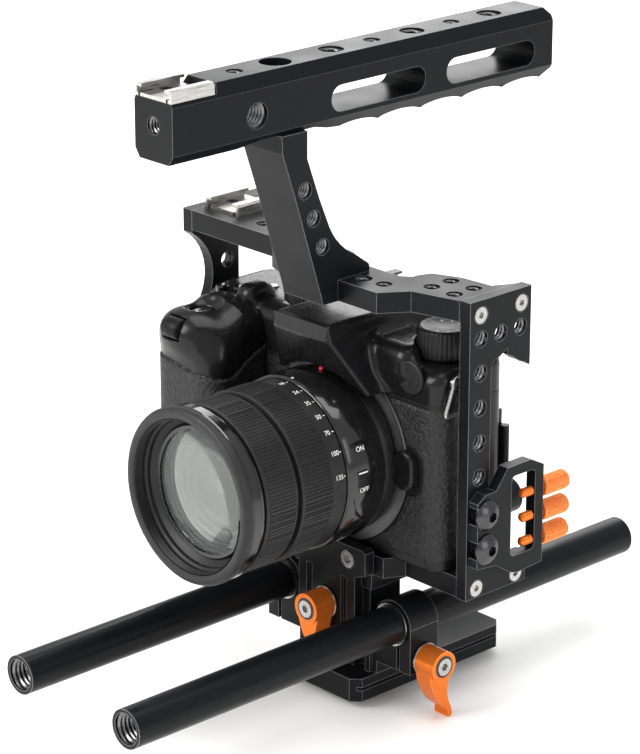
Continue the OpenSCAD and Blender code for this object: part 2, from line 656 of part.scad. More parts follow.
module viewfinder_lens() color("#223344") along_y(14.1, 16) polygon(round_rect(-12.9, 124.1, 12.9, 140.9, 4.9));

screen_hinge_x = 48.6;
screen_hinge_y = body_y1 + 1.9;
module screen_panel() color(black) {
    difference() {
        block(-33.7, 46.2, body_y1 - 3.5, body_y1 + 2.5, 64.4, 113.6);
        block(-30, 38, body_y1 + 2.1, body_y1 + 4, 67.5, 111);
    }
    block(46, 48, body_y1 + 0.3, body_y1 + 2.5, 70, 108);
    rod_along_z(70, 108, screen_hinge_x, screen_hinge_y, 1.6);
}

module strap_lugs() color(silver) {
    rod_along_x(body_x1, body_x1 + 3.5, -20.5, 132.5, 2.2);
    rod_along_x(body_x0 - 2.6, body_x0, -18, 132.5, 2.2);
}

module strap_ring() color(silver) translate([body_x1 + 1.8, -20.5, 132.5]) rotate([90, 0, 90])
    difference() {
        linear_extrude(1.4) polygon([[-3.6, 2.4], [0, 4.1], [3.6, 2.4], [4.2, -0.5], [7.4, -10.2], [6.4, -11.8],
            [-6.4, -11.8], [-7.4, -10.2], [-4.2, -0.5]]);
        translate([0, 0, -1]) linear_extrude(4) polygon([[-2.9, -1.8], [2.9, -1.8], [5.4, -10.2], [-5.4, -10.2]]);
        translate([0, 0, -1]) cylinder(h = 4, r = 2.2 + run);
    }

// ---------- lens ----------
// a ring round the lens axis, between two depths
module lens_ring(y0, y1, r, bore) translate([0, y0, lens_z]) rotate([-90, 0, 0]) difference() {
    cylinder(h = y1 - y0, r = r, $fn = 96);
    translate([0, 0, -1]) cylinder(h = y1 - y0 + 2, r = bore, $fn = 96);
}

zoom_y0 = -78;
zoom_y1 = -56;
focus_y0 = -95;
focus_y1 = -80;
tube_r = 31;
barrel_bore = 29;
front_r = 28.6;

module lens_barrel() color(black) difference() {
    union() {
        rod_along_y(zoom_y1 + gap, mount_y - 5, 0, lens_z, lens_r);
        rod_along_y(mount_y - 5.1, mount_y - 0.1, 0, lens_z, 30);
        rod_along_y(focus_y0 + 1, zoom_y1 + 1, 0, lens_z, tube_r - run);
        rod_along_y(zoom_y0 - 2 + gap, zoom_y0 - gap, 0, lens_z, 32.4);
        rod_along_y(mount_y - 1, mount_y + 5.4, 0, lens_z, 18.9);
    }
    rod_along_y(front_y - 1, mount_y - 6, 0, lens_z, barrel_bore);
    rod_along_y(mount_y - 7, mount_y + 8, 0, lens_z, 15);
    // recess that the stabiliser switch slides in
    block(lens_r - 2.2, lens_r + 2, -52.5, -46, lens_z - 7.5, lens_z + 7.5);
}

module zoom_ring() color(rubber) lens_ring(zoom_y0, zoom_y1, 32.9, tube_r);

module focus_ring() color(rubber) lens_ring(focus_y0, focus_y1, 32.6, tube_r);

module front_barrel() color(black) difference() {
    union() {
        rod_along_y(front_y, focus_y0 - gap, 0, lens_z, lens_r);
        rod_along_y(focus_y0 - 1, -40, 0, lens_z, front_r);
    }
    rod_along_y(front_y - 1, -39, 0, lens_z, 26);
    rod_along_y(front_y - 1, front_y + 5, 0, lens_z, 29);
    rod_along_y(front_y + 4, front_y + 5.6, 0, lens_z, 27.5);
}

module front_glass() color("#5a6a70") translate([0, front_y + 9, lens_z]) rotate([-90, 0, 0]) union() {
    cylinder(h = 6, r = 25.9);
    translate([0, 0, -3]) rotate_extrude() polygon(concat([[0, 4], [glass_r, 4], [glass_r, 3]],
        arc(0, 3 + 33.5, 33.5 + 3, -52, -90, 8)));
}

module rear_glass() color("#5a6a70") rod_along_y(-37.9, -33.5, 0, lens_z, 14.9);

module stabiliser_switch() color(dark) block(lens_r - 2, lens_r + 0.3, -52, -46.5, lens_z - 1.8, lens_z + 5.2);

// ---------- what is drawn ----------
base_plate();
base_rubber_pad();
rod_clamp_block();
base_screws();
rod(-1);  // rod_left
rod(1);  // rod_right
rod_lever();
rod_lever_screw();
riser_column();
riser_screws();
riser_lever();
riser_lever_screw();
cage_bottom_plate();
cage_side_plate();
cage_left_plate();
cage_top_plate();
cage_corner_screws();
camera_screw();
cage_shoe();
handle_bar();
handle_post();
handle_shoe();
shoe_screws();
handle_bolts();
cable_clamp_plate();
cable_clamp_bolts();
cable_screw(screw_z[0]);  // cable_screw_1
cable_screw(screw_z[1]);  // cable_screw_2
cable_screw(screw_z[2]);  // cable_screw_3
camera_front_shell();
camera_rear_shell();
camera_top_cover();
camera_grip();
battery();
sensor_unit();
main_board();
lens_mount_ring();
shutter_button();
mode_dial();
drive_dial();
front_dial();
rear_dial();
lens_release_button();
sync_socket_cap();
hot_shoe();
eyecup();
viewfinder_lens();
screen_panel();
strap_lugs();
strap_ring();
lens_barrel();
zoom_ring();
focus_ring();
front_barrel();
front_glass();
rear_glass();
stabiliser_switch();
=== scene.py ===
# Looks of a cinema camera rig: cage, top handle, rod base, cable clamp, camera and zoom lens.
# Sizes are millimetres in the frame's axes unless a line says metres; meshes store metres.
import json
import math
import bmesh
import bpy
import numpy as np
from mathutils import Matrix, Vector

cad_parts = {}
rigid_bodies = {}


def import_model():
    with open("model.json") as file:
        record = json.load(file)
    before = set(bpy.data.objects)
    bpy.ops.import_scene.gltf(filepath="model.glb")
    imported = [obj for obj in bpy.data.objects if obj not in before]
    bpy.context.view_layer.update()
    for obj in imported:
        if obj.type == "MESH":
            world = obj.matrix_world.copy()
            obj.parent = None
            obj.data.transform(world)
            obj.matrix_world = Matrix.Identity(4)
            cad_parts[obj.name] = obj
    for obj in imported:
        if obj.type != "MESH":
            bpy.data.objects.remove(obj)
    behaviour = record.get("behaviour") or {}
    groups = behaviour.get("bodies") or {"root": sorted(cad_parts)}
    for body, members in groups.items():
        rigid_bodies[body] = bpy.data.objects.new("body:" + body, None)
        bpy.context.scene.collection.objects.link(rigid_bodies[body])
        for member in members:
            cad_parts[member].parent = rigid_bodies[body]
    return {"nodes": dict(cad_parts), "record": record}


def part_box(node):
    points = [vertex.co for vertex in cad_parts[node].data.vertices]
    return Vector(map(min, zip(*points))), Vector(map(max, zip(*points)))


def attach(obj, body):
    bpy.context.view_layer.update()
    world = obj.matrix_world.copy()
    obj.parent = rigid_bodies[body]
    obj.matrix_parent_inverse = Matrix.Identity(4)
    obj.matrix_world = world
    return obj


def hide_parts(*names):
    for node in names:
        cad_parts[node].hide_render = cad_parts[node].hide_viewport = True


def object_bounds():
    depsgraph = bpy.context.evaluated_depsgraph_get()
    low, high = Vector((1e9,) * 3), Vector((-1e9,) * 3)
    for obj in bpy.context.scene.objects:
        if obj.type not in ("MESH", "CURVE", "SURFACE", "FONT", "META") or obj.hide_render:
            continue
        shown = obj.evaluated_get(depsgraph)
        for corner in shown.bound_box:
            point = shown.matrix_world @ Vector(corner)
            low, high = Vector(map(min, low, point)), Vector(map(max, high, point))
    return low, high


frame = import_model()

cad_lo, cad_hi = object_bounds()
MM = 0.001
scene = bpy.context.scene
for stray in [o for o in bpy.data.objects if o.name in ("Cube", "Light", "Camera")]:
    bpy.data.objects.remove(stray)


# ---- frame sizes
def span(node):
    """(lowest corner, highest corner) of a CAD node, in millimetres."""
    lo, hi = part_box(node)
    return lo / MM, hi / MM


def middle(node):
    """Centre of a CAD node's box, in millimetres."""
    lo, hi = span(node)
    return (lo + hi) / 2


# ---- materials
# sockets of a Mix node that mixes colours
MIX_FACTOR, MIX_FROM, MIX_TO, MIX_RESULT = 0, 6, 7, 2
# cosine between the true and the softened normal, where the edge wear and painted edge highlight
# begins and where it is full
WEAR_AND_HIGHLIGHT_BEGINS, WEAR_AND_HIGHLIGHT_FULL = 0.985, 0.90


def shader(name, base, rough, metal=0.0, specular=0.5, coat=0.0, coat_rough=0.1):
    """A Principled material with constant values."""
    m = bpy.data.materials.new(name)
    m.use_nodes = True
    b = m.node_tree.nodes["Principled BSDF"]
    b.inputs["Base Color"].default_value = (*base, 1)
    b.inputs["Roughness"].default_value = rough
    b.inputs["Metallic"].default_value = metal
    b.inputs["Specular IOR Level"].default_value = specular
    b.inputs["Coat Weight"].default_value = coat
    b.inputs["Coat Roughness"].default_value = coat_rough
    return m


def node(m, kind, **values):
    """Adds a shader node; each value goes to the input or the setting of that name."""
    n = m.node_tree.nodes.new(kind)
    for key, value in values.items():
        if key in n.inputs:
            n.inputs[key].default_value = value
        else:
            setattr(n, key, value)
    return n


def wire(m, a, b):
    m.node_tree.links.new(a, b)


def grain(m, scale, detail=3.0, stretch=(1, 1, 1)):
    """Noise in the piece's own coordinates; scale is in cycles per metre."""
    place = node(m, "ShaderNodeTexCoord")
    turn = node(m, "ShaderNodeMapping", Scale=stretch)
    noise = node(m, "ShaderNodeTexNoise", Scale=scale, Detail=detail)
    wire(m, place.outputs["Object"], turn.inputs["Vector"])
    wire(m, turn.outputs["Vector"], noise.inputs["Vector"])
    return noise.outputs["Fac"]


def principled(m, socket):
    return m.node_tree.nodes["Principled BSDF"].inputs[socket]


def ramp(m, source, low, high, a, b):
    r = node(m, "ShaderNodeValToRGB")
    r.color_ramp.elements[0].position = low
    r.color_ramp.elements[1].position = high
    r.color_ramp.elements[0].color = (*a, 1)
    r.color_ramp.elements[1].color = (*b, 1)
    wire(m, source, r.inputs["Fac"])
    return r.outputs["Color"]


def colour(m, source, a, b, low=0.35, high=0.65):
    """Base colour that goes from a to b while the source goes from low to high."""
    wire(m, ramp(m, source, low, high, a, b), principled(m, "Base Color"))


def roughness(m, source, low, high):
    """Roughness from low to high over the middle of the source's range."""
    r = node(m, "ShaderNodeMapRange")
    r.inputs["From Min"].default_value = 0.3
    r.inputs["From Max"].default_value = 0.7
    r.inputs["To Min"].default_value = low
    r.inputs["To Max"].default_value = high
    wire(m, source, r.inputs["Value"])
    wire(m, r.outputs["Result"], principled(m, "Roughness"))


def bump(m, source, height_mm, strength=1.0):
    b = node(m, "ShaderNodeBump", Strength=strength, Distance=height_mm * MM)
    wire(m, source, b.inputs["Height"])
    wire(m, b.outputs["Normal"], principled(m, "Normal"))


def edge_wear_and_highlight(m, tint, width_mm=0.35, amount=0.8):
    """Brightens the convex edges: partly wear, where handling polishes an anodised finish, and
    partly a painted highlight along them.
    """
    before = principled(m, "Base Color").links[0].from_socket
    soft = node(m, "ShaderNodeBevel", samples=4)
    soft.inputs["Radius"].default_value = width_mm * MM
    true = node(m, "ShaderNodeNewGeometry")
    dot = node(m, "ShaderNodeVectorMath", operation="DOT_PRODUCT")
    wire(m, soft.outputs["Normal"], dot.inputs[0])
    wire(m, true.outputs["Normal"], dot.inputs[1])
    # painted highlight: convex edges are brightened towards the tint, partly as wear and partly as
    # light caught along the edges
    edge = node(m, "ShaderNodeMapRange")
    edge.inputs["From Min"].default_value = WEAR_AND_HIGHLIGHT_BEGINS
    edge.inputs["From Max"].default_value = WEAR_AND_HIGHLIGHT_FULL
    edge.inputs["To Max"].default_value = amount
    wire(m, dot.outputs["Value"], edge.inputs["Value"])
    mix = node(m, "ShaderNodeMix", data_type="RGBA")
    mix.inputs[MIX_TO].default_value = (*tint, 1)
    wire(m, edge.outputs["Result"], mix.inputs[MIX_FACTOR])
    wire(m, before, mix.inputs[MIX_FROM])
    wire(m, mix.outputs[MIX_RESULT], principled(m, "Base Color"))


def anodised(name, dark, light, edge, rough, metal):
    """Bead-blasted, dyed aluminium; its edges go to the edge colour, partly as wear and partly as a
    painted highlight.
    """
    m = shader(name, dark, rough, metal, specular=0.13)
    colour(m, grain(m, 1400, 4), dark, light)
    roughness(m, grain(m, 60, 2), rough - 0.04, rough + 0.05)
    bump(m, grain(m, 5200, 2), 0.02, 0.35)
    # edges brightened to the edge colour: partly wear, partly a painted edge highlight
    edge_wear_and_highlight(m, edge)
    return m


def metal(name, dark, light, rough, stretch=(1, 1, 1), scale=2400):
    """Bare metal; stretch draws its grain out into a brushed finish."""
    m = shader(name, light, rough, 1.0)
    streak = grain(m, scale, 4, stretch)
    colour(m, streak, dark, light)
    roughness(m, streak, rough - 0.05, rough + 0.08)
    bump(m, streak, 0.01, 0.3)
    return m


def plastic(name, dark, light, rough, bump_scale, bump_mm, coat=0.0, specular=0.32):
    m = shader(name, dark, rough, 0.0, specular, coat, 0.06)
    colour(m, grain(m, 260, 3), dark, light)
    roughness(m, grain(m, 420, 2), rough - 0.03, rough + 0.05)
    bump(m, grain(m, bump_scale, 3), bump_mm, 0.6)
    return m


def leatherette(name):
    """Moulded leather grain: rounded pebbles a little under a millimetre across, with painted shade
    in the grooves between them.
    """
    m = shader(name, (0.03, 0.03, 0.031), 0.6, 0.0, 0.4)
    place = node(m, "ShaderNodeTexCoord")
    cells = node(m, "ShaderNodeTexVoronoi", Scale=820.0, feature="SMOOTH_F1")
    wire(m, place.outputs["Object"], cells.inputs["Vector"])
    pebble, shaded_groove = (0.016, 0.016, 0.017), (0.005, 0.005, 0.0055)
    # painted shade: the colour darkens from the pebble tops into the grooves, where shade falls
    colour(m, cells.outputs["Distance"], pebble, shaded_groove, 0.15, 0.6)
    roughness(m, grain(m, 900, 3), 0.5, 0.66)
    flip = node(m, "ShaderNodeMath", operation="MULTIPLY")
    flip.inputs[1].default_value = -1.0
    wire(m, cells.outputs["Distance"], flip.inputs[0])
    bump(m, flip.outputs["Value"], 0.6, 0.9)
    return m


# the third colour of each is its edge colour: partly wear, partly a painted edge highlight
BLACK = anodised("anodised_black", (0.0048, 0.0052, 0.0062), (0.0072, 0.0076, 0.0088),
                 (0.30, 0.30, 0.31), 0.36, 0.1)
HANDLE_BLACK = anodised("anodised_black_fine", (0.0042, 0.0047, 0.0056), (0.0064, 0.0068, 0.0080),
                        (0.22, 0.22, 0.23), 0.34, 0.1)
ROD_BLACK = anodised("rod_black", (0.0050, 0.0054, 0.0062), (0.0072, 0.0076, 0.0086),
                     (0.40, 0.40, 0.41), 0.30, 0.1)
ORANGE = anodised("anodised_orange", (0.74, 0.165, 0.020), (0.79, 0.185, 0.026),
                  (0.95, 0.42, 0.16), 0.28, 0.5)
STEEL = metal("bright_steel", (0.34, 0.335, 0.32), (0.50, 0.49, 0.47), 0.26)
SHOE_STEEL = metal("shoe_steel", (0.40, 0.395, 0.375), (0.56, 0.55, 0.53), 0.30, (1, 0.08, 1),
                   1600)
DARK_STEEL = metal("dark_steel", (0.055, 0.055, 0.058), (0.085, 0.085, 0.088), 0.24)
THREAD_STEEL = metal("cut_thread", (0.12, 0.12, 0.125), (0.20, 0.20, 0.205), 0.26)
SATIN = plastic("camera_plastic", (0.0065, 0.0065, 0.0072), (0.0095, 0.0095, 0.0103), 0.38, 4200,
                0.012, 0.0, 0.24)
SMOOTH = plastic("camera_top_plastic", (0.0060, 0.0060, 0.0066), (0.0078, 0.0078, 0.0086), 0.25,
                 2600, 0.003, 0.08, 0.2)
GLOSS = plastic("gloss_black", (0.005, 0.005, 0.0055), (0.007, 0.007, 0.0075), 0.15, 1800, 0.002,
                0.5)
RUBBER = plastic("lens_rubber", (0.010, 0.010, 0.0105), (0.014, 0.014, 0.0145), 0.46, 3600, 0.015)
LEATHER = leatherette("leather_grain")
MOUNT_GREY = metal("mount_grey", (0.10, 0.10, 0.103), (0.15, 0.15, 0.154), 0.42)
PRINT = plastic("white_print", (0.72, 0.72, 0.70), (0.82, 0.82, 0.80), 0.5, 5000, 0.005)
RED = plastic("red_print", (0.62, 0.03, 0.05), (0.78, 0.06, 0.08), 0.4, 5000, 0.005)


def glass(name):
    m = shader(name, (0.9, 0.94, 0.93), 0.02, 0.0, 0.6, 0.5, 0.02)
    b = m.node_tree.nodes["Principled BSDF"]
    b.inputs["Transmission Weight"].default_value = 0.96
    b.inputs["IOR"].default_value = 1.5
    colour(m, grain(m, 60, 2), (0.86, 0.92, 0.90), (0.93, 0.96, 0.95))
    roughness(m, grain(m, 90, 2), 0.01, 0.03)
    return m


def coated():
    """Deep element: its coating throws back a mottled greenish grey."""
    m = shader("coated_glass", (0.2, 0.22, 0.22), 0.06, 0.0, 0.5, 0.35, 0.02)
    place = node(m, "ShaderNodeTexCoord")
    swirl = node(m, "ShaderNodeTexNoise", Scale=45.0, Detail=1.0)
    wire(m, place.outputs["Object"], swirl.inputs["Vector"])
    colour(m, swirl.outputs["Fac"], (0.05, 0.06, 0.06), (0.22, 0.24, 0.23))
    roughness(m, grain(m, 90, 2), 0.05, 0.12)
    return m


GLASS = glass("lens_glass")
COATED = coated()
SCREEN = plastic("screen_glass", (0.008, 0.008, 0.010), (0.012, 0.012, 0.014), 0.08, 600, 0.002,
                 0.8)


# ---- mesh helpers
def finish_mesh(name, verts, faces, mat, sharp=38):
    """A smooth mesh object from millimetre points. Edges sharper than the angle stay sharp."""
    me = bpy.data.meshes.new(name)
    me.from_pydata([tuple(c * MM for c in v) for v in verts], [], faces)
    me.validate()
    me.update()
    obj = bpy.data.objects.new(name, me)
    scene.collection.objects.link(obj)
    for m in mat if isinstance(mat, (list, tuple)) else [mat]:
        me.materials.append(m)
    me.shade_smooth()
    if sharp:
        me.set_sharp_from_angle(angle=math.radians(sharp))
    return obj


def place(obj, body, slot=None, replaces=()):
    """Puts a piece on a body and hides the CAD nodes that it stands in for; slot is not used."""
    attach(obj, body)
    if replaces:
        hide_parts(*replaces)
    return obj


def axes(direction):
    """Two unit vectors square to a direction, and the direction itself."""
    d = Vector(direction).normalized()
    side = Vector((0, 0, 1)) if abs(d.z) < 0.9 else Vector((1, 0, 0))
    u = d.cross(side).normalized()
    return u, d.cross(u), d


SAME_POINT = 1e-6   # a radius below this (mm) is a tip; points this close (m) are merged


class Build:
    """Collects points and faces of one piece, in millimetres."""

    def __init__(self):
        self.verts, self.faces = [], []

    def add(self, verts, faces):
        start = len(self.verts)
        self.verts += [tuple(v) for v in verts]
        self.faces += [[start + i for i in f] for f in faces]
        return self

    def lathe(self, origin, direction, profile, segs=64, wobble=None, closed=False):
        """Turns (radius, distance) points round an axis. wobble(angle, index) adds to a radius."""
        u, w, d = axes(direction)
        o = Vector(origin)
        verts = []
        for k, (r, t) in enumerate(profile):
            for i in range(segs):
                a = 2 * math.pi * i / segs
                rr = r + (wobble(a, k) if wobble else 0)
                verts.append(o + d * t + (u * math.cos(a) + w * math.sin(a)) * rr)
        faces = []
        rings = len(profile)
        for k in range(rings if closed else rings - 1):
            n = (k + 1) % rings
            for i in range(segs):
                j = (i + 1) % segs
                faces.append([k * segs + i, k * segs + j, n * segs + j, n * segs + i])
        if not closed:
            if profile[0][0] > SAME_POINT:
                faces.append(list(reversed(range(segs))))
            if profile[-1][0] > SAME_POINT:
                faces.append([(rings - 1) * segs + i for i in range(segs)])
        return self.add(verts, faces)

    def prism(self, points, lift):
        """Closed prism on a loop of 3-D points, moved by lift to its other end."""
        n = len(points)
        lift = Vector(lift)
        top = [Vector(p) + lift for p in points]
        faces = [list(reversed(range(n))), list(range(n, 2 * n))]
        faces += [[i, (i + 1) % n, n + (i + 1) % n, n + i] for i in range(n)]
        return self.add([Vector(p) for p in points] + top, faces)

    def make(self, name, mat, sharp=38, merge=True, bevel=0):
        """The object: doubled points merged, faces turned outwards, edges rounded."""
        obj = finish_mesh(name, self.verts, self.faces, mat, sharp)
        bm = bmesh.new()
        bm.from_mesh(obj.data)
        if merge:
            bmesh.ops.remove_doubles(bm, verts=bm.verts, dist=SAME_POINT)
        bmesh.ops.recalc_face_normals(bm, faces=bm.faces)
        bm.to_mesh(obj.data)
        bm.free()
        if bevel:
            round_edges(obj, bevel)
        return obj


ROUNDED_FROM = 32   # degrees between two faces; flatter edges are left alone


def round_edges(obj, width):
    b = obj.modifiers.new("edge", "BEVEL")
    b.width = width * MM
    b.segments = 2
    b.limit_method = "ANGLE"
    b.angle_limit = math.radians(ROUNDED_FROM)
    b.use_clamp_overlap = True
    b.harden_normals = True


# ---- solids from distance fields
CORNERS = [(dx, dy, dz) for dx in (0, 1) for dy in (0, 1) for dz in (0, 1)]
PROBE = 0.05         # mm on each side of a point when the slope of a field is measured
FLATTEST = 0.25      # smallest squared slope that a Newton step divides by
LONGEST_MOVE = 0.4   # of a grid step, in one settling pass


def surface_nets(field, lo, step):
    """Quads round the zero level of a field sampled on a grid. Returns points (mm) and faces."""
    inside = field < 0
    nx, ny, nz = field.shape
    corner = [inside[dx:nx - 1 + dx, dy:ny - 1 + dy, dz:nz - 1 + dz] for dx, dy, dz in CORNERS]
    total = sum(c.astype(np.int8) for c in corner)
    active = (total > 0) & (total < 8)
    index = -np.ones(active.shape, np.int64)
    cells = np.argwhere(active)
    index[active] = np.arange(len(cells))
    # each cell's point is the mean of the crossings on its twelve edges
    acc = np.zeros((len(cells), 3))
    count = np.zeros(len(cells))
    for a in range(8):
        for b in range(a + 1, 8):
            da, db = np.array(CORNERS[a]), np.array(CORNERS[b])
            if np.abs(da - db).sum() != 1:
                continue
            fa = field[cells[:, 0] + da[0], cells[:, 1] + da[1], cells[:, 2] + da[2]]
            fb = field[cells[:, 0] + db[0], cells[:, 1] + db[1], cells[:, 2] + db[2]]
            cross = (fa < 0) != (fb < 0)
            t = np.where(cross, fa / np.where(fa == fb, 1, fa - fb), 0)
            acc += np.where(cross[:, None], da + (db - da) * t[:, None], 0)
            count += cross
    pts = (cells + acc / count[:, None]) * step + np.array(lo)
    # each grid edge that crosses the surface gives one quad between its four cells
    faces = []
    for axis in range(3):
        one = [0, 0, 0]
        one[axis] = 1
        s0 = inside[:nx - one[0], :ny - one[1], :nz - one[2]]
        s1 = inside[one[0]:, one[1]:, one[2]:]
        edge = np.argwhere(s0 != s1)
        u, v = (axis + 1) % 3, (axis + 2) % 3
        ok = (edge[:, u] > 0) & (edge[:, v] > 0)
        ok &= (edge[:, u] < field.shape[u] - 1) & (edge[:, v] < field.shape[v] - 1)
        edge = edge[ok]
        du, dv = np.zeros(3, int), np.zeros(3, int)
        du[u], dv[v] = 1, 1
        quad = [index[tuple((edge - du - dv).T)], index[tuple((edge - dv).T)],
                index[tuple(edge.T)], index[tuple((edge - du).T)]]
        out = s0[tuple(edge.T)]
        q = np.stack(quad, 1)
        q[~out] = q[~out][:, ::-1]
        faces.append(q)
    return pts, np.concatenate(faces)


def sdf_piece(name, f, lo, hi, step, mat):
    """A mesh of the solid where f(x, y, z) < 0, settled on its surface in three passes."""
    lo = np.array(lo, float)
    n = [int(math.ceil((h - l) / step)) + 1 for l, h in zip(lo, hi)]
    grid = np.meshgrid(*[lo[k] + step * np.arange(n[k]) for k in range(3)], indexing="ij")
    pts, quads = surface_nets(f(*grid), lo, step)
    for _ in range(3):
        d = f(*pts.T)
        slope = np.stack([(f(*(pts + shift).T) - f(*(pts - shift).T)) / (2 * PROBE)
                          for shift in PROBE * np.eye(3)], 1)
        size = np.maximum((slope ** 2).sum(1), FLATTEST)
        move = np.clip(d / size, -LONGEST_MOVE * step, LONGEST_MOVE * step)
        pts = pts - slope * move[:, None]
    return finish_mesh(name, pts.tolist(), quads.tolist(), mat, sharp=0)


def smin(a, b, k):
    """Union of two fields, blended over k."""
    h = np.clip(0.5 + 0.5 * (b - a) / k, 0, 1)
    return b + (a - b) * h - k * h * (1 - h)


def smax(a, b, k):
    """Intersection of two fields, blended over k."""
    return -smin(-a, -b, k)


def s_box(p, lo, hi, r):
    """Rounded box between two corners."""
    q = [np.abs(p[k] - (lo[k] + hi[k]) / 2) - ((hi[k] - lo[k]) / 2 - r) for k in range(3)]
    out = np.sqrt(sum(np.maximum(c, 0) ** 2 for c in q))
    return out + np.minimum(np.maximum(np.maximum(q[0], q[1]), q[2]), 0) - r


def s_post(p, x0, x1, y0, y1, r):
    """Upright column with rounded corners of radius r, endless in z."""
    qx = np.abs(p[0] - (x0 + x1) / 2) - ((x1 - x0) / 2 - r)
    qy = np.abs(p[1] - (y0 + y1) / 2) - ((y1 - y0) / 2 - r)
    out = np.sqrt(np.maximum(qx, 0) ** 2 + np.maximum(qy, 0) ** 2)
    return out + np.minimum(np.maximum(qx, qy), 0) - r


def s_round_y(p, cx, cz, r):
    """Cylinder along y, endless."""
    return np.sqrt((p[0] - cx) ** 2 + (p[2] - cz) ** 2) - r


def s_round_z(p, cx, cy, r):
    """Cylinder along z, endless."""
    return np.sqrt((p[0] - cx) ** 2 + (p[1] - cy) ** 2) - r


# ---- camera, lights, floor
CAMERA_AT = (0.79709, -0.78268, 0.52267)   # metres
CAMERA_TURN = (70, 0, 47)                  # degrees
FOCAL_LENGTH, SENSOR_WIDTH = 149.6, 36
FAR_CLIP = 50                              # metres
FLOOR_HALF, FLOOR_GAP = 6.0, 0.0006        # metres; the gap is below the lowest CAD point
SKY_STRENGTH = 0.75
LIT_POINT = Vector((0.0, -0.03, 0.12))     # metres; every softbox faces it
# name, place and width in metres, watts, colour
SOFTBOXES = [
    ("key", (-0.55, -1.5, 1.1), 1.1, 36, (1.0, 0.99, 0.97)),
    ("top", (0.1, 0.2, 1.9), 1.5, 26, (1.0, 1.0, 1.0)),
    ("side", (1.7, -0.1, 0.7), 0.9, 7, (0.96, 0.98, 1.0)),
    ("rim", (-0.9, 1.3, 0.9), 1.0, 10, (1.0, 1.0, 1.0)),
]


def make_stage():
    cam = bpy.data.cameras.new("camera")
    cam.lens = FOCAL_LENGTH
    cam.sensor_width = SENSOR_WIDTH
    cam.clip_end = FAR_CLIP
    eye = bpy.data.objects.new("camera", cam)
    eye.location = CAMERA_AT
    eye.rotation_euler = [math.radians(a) for a in CAMERA_TURN]
    scene.collection.objects.link(eye)
    scene.camera = eye

    far, low = FLOOR_HALF, cad_lo.z - FLOOR_GAP
    corners = [(-far, -far, low), (far, -far, low), (far, far, low), (-far, far, low)]
    me = bpy.data.meshes.new("floor")
    me.from_pydata(corners, [], [[0, 1, 2, 3]])
    floor = bpy.data.objects.new("floor", me)
    scene.collection.objects.link(floor)
    pale = shader("pale_floor", (0.93, 0.93, 0.92), 0.8, 0.0, 0.2)
    colour(pale, grain(pale, 3, 2), (0.92, 0.92, 0.91), (0.94, 0.94, 0.93))
    me.materials.append(pale)

    world = bpy.data.worlds.new("studio")
    world.use_nodes = True
    back = world.node_tree.nodes["Background"]
    back.inputs["Color"].default_value = (1.0, 1.0, 1.0, 1)
    back.inputs["Strength"].default_value = SKY_STRENGTH
    scene.world = world
    scene.view_settings.view_transform = "Standard"

    for name, at, wide, power, tint in SOFTBOXES:
        light = bpy.data.lights.new(name, "AREA")
        light.shape = "SQUARE"
        light.size = wide
        light.energy = power
        light.color = tint
        lamp = bpy.data.objects.new(name, light)
        lamp.location = at
        lamp.rotation_euler = (LIT_POINT - Vector(at)).to_track_quat("-Z", "Y").to_euler()
        scene.collection.objects.link(lamp)


make_stage()

# ---- CAD metalwork
# node: (material, slot, edge rounding in mm)
FINISH = {
    "base_plate": (BLACK, "anodised_black", 0.45),
    "base_rubber_pad": (RUBBER, "soft_rubber", 0.2),
    "rod_clamp_block": (BLACK, "anodised_black", 0.45),
    "base_screws": (DARK_STEEL, "dark_steel", 0.2),
    "rod_left": (ROD_BLACK, "rod_black", 0.35),
    "rod_right": (ROD_BLACK, "rod_black", 0.35),
    "rod_lever": (ORANGE, "anodised_orange", 0.4),
    "rod_lever_screw": (STEEL, "bright_steel", 0.2),
    "riser_lever": (ORANGE, "anodised_orange", 0.4),
    "riser_lever_screw": (STEEL, "bright_steel", 0.2),
    "riser_column": (BLACK, "anodised_black", 0.45),
    "riser_screws": (STEEL, "bright_steel", 0.2),
    "cage_bottom_plate": (BLACK, "anodised_black", 0.4),
    "cage_side_plate": (BLACK, "anodised_black", 0.4),
    "cage_left_plate": (BLACK, "anodised_black", 0.4),
    "cage_top_plate": (BLACK, "anodised_black", 0.4),
    "cage_corner_screws": (STEEL, "bright_steel", 0.12),
    "camera_screw": (STEEL, "bright_steel", 0.2),
    "cage_shoe": (SHOE_STEEL, "bright_steel", 0.25),
    "handle_bar": (HANDLE_BLACK, "anodised_black", 0.4),
    "handle_post": (BLACK, "anodised_black", 0.4),
    "handle_shoe": (SHOE_STEEL, "bright_steel", 0.25),
    "shoe_screws": (DARK_STEEL, "dark_steel", 0.12),
    "handle_bolts": (DARK_STEEL, "dark_steel", 0.25),
    "cable_clamp_plate": (BLACK, "anodised_black", 0.35),
    "cable_clamp_bolts": (DARK_STEEL, "dark_steel", 0.25),
    "battery": (SATIN, "battery_grey", 0.4),
    "sensor_unit": (SCREEN, "sensor_green", 0.2),
    "main_board": (SATIN, "board_green", 0.1),
    "lens_mount_ring": (STEEL, "bright_steel", 0.3),
    "hot_shoe": (MOUNT_GREY, "bright_steel", 0.2),
    "eyecup": (RUBBER, "soft_rubber", 1.2),
    "viewfinder_lens": (SCREEN, "lens_glass", 0.3),
    "strap_lugs": (STEEL, "bright_steel", 0.2),
    "strap_ring": (STEEL, "bright_steel", 0.25),
    "rear_glass": (GLASS, "lens_glass", 0.2),
    "screen_panel": (SATIN, "camera_plastic", 0.5),
    "rear_dial": (SMOOTH, "camera_plastic", 0.3),
}
for name, (mat, slot_name, width) in FINISH.items():
    part = frame["nodes"][name]
    part.data.materials.clear()
    part.data.materials.append(mat)
    round_edges(part, width)


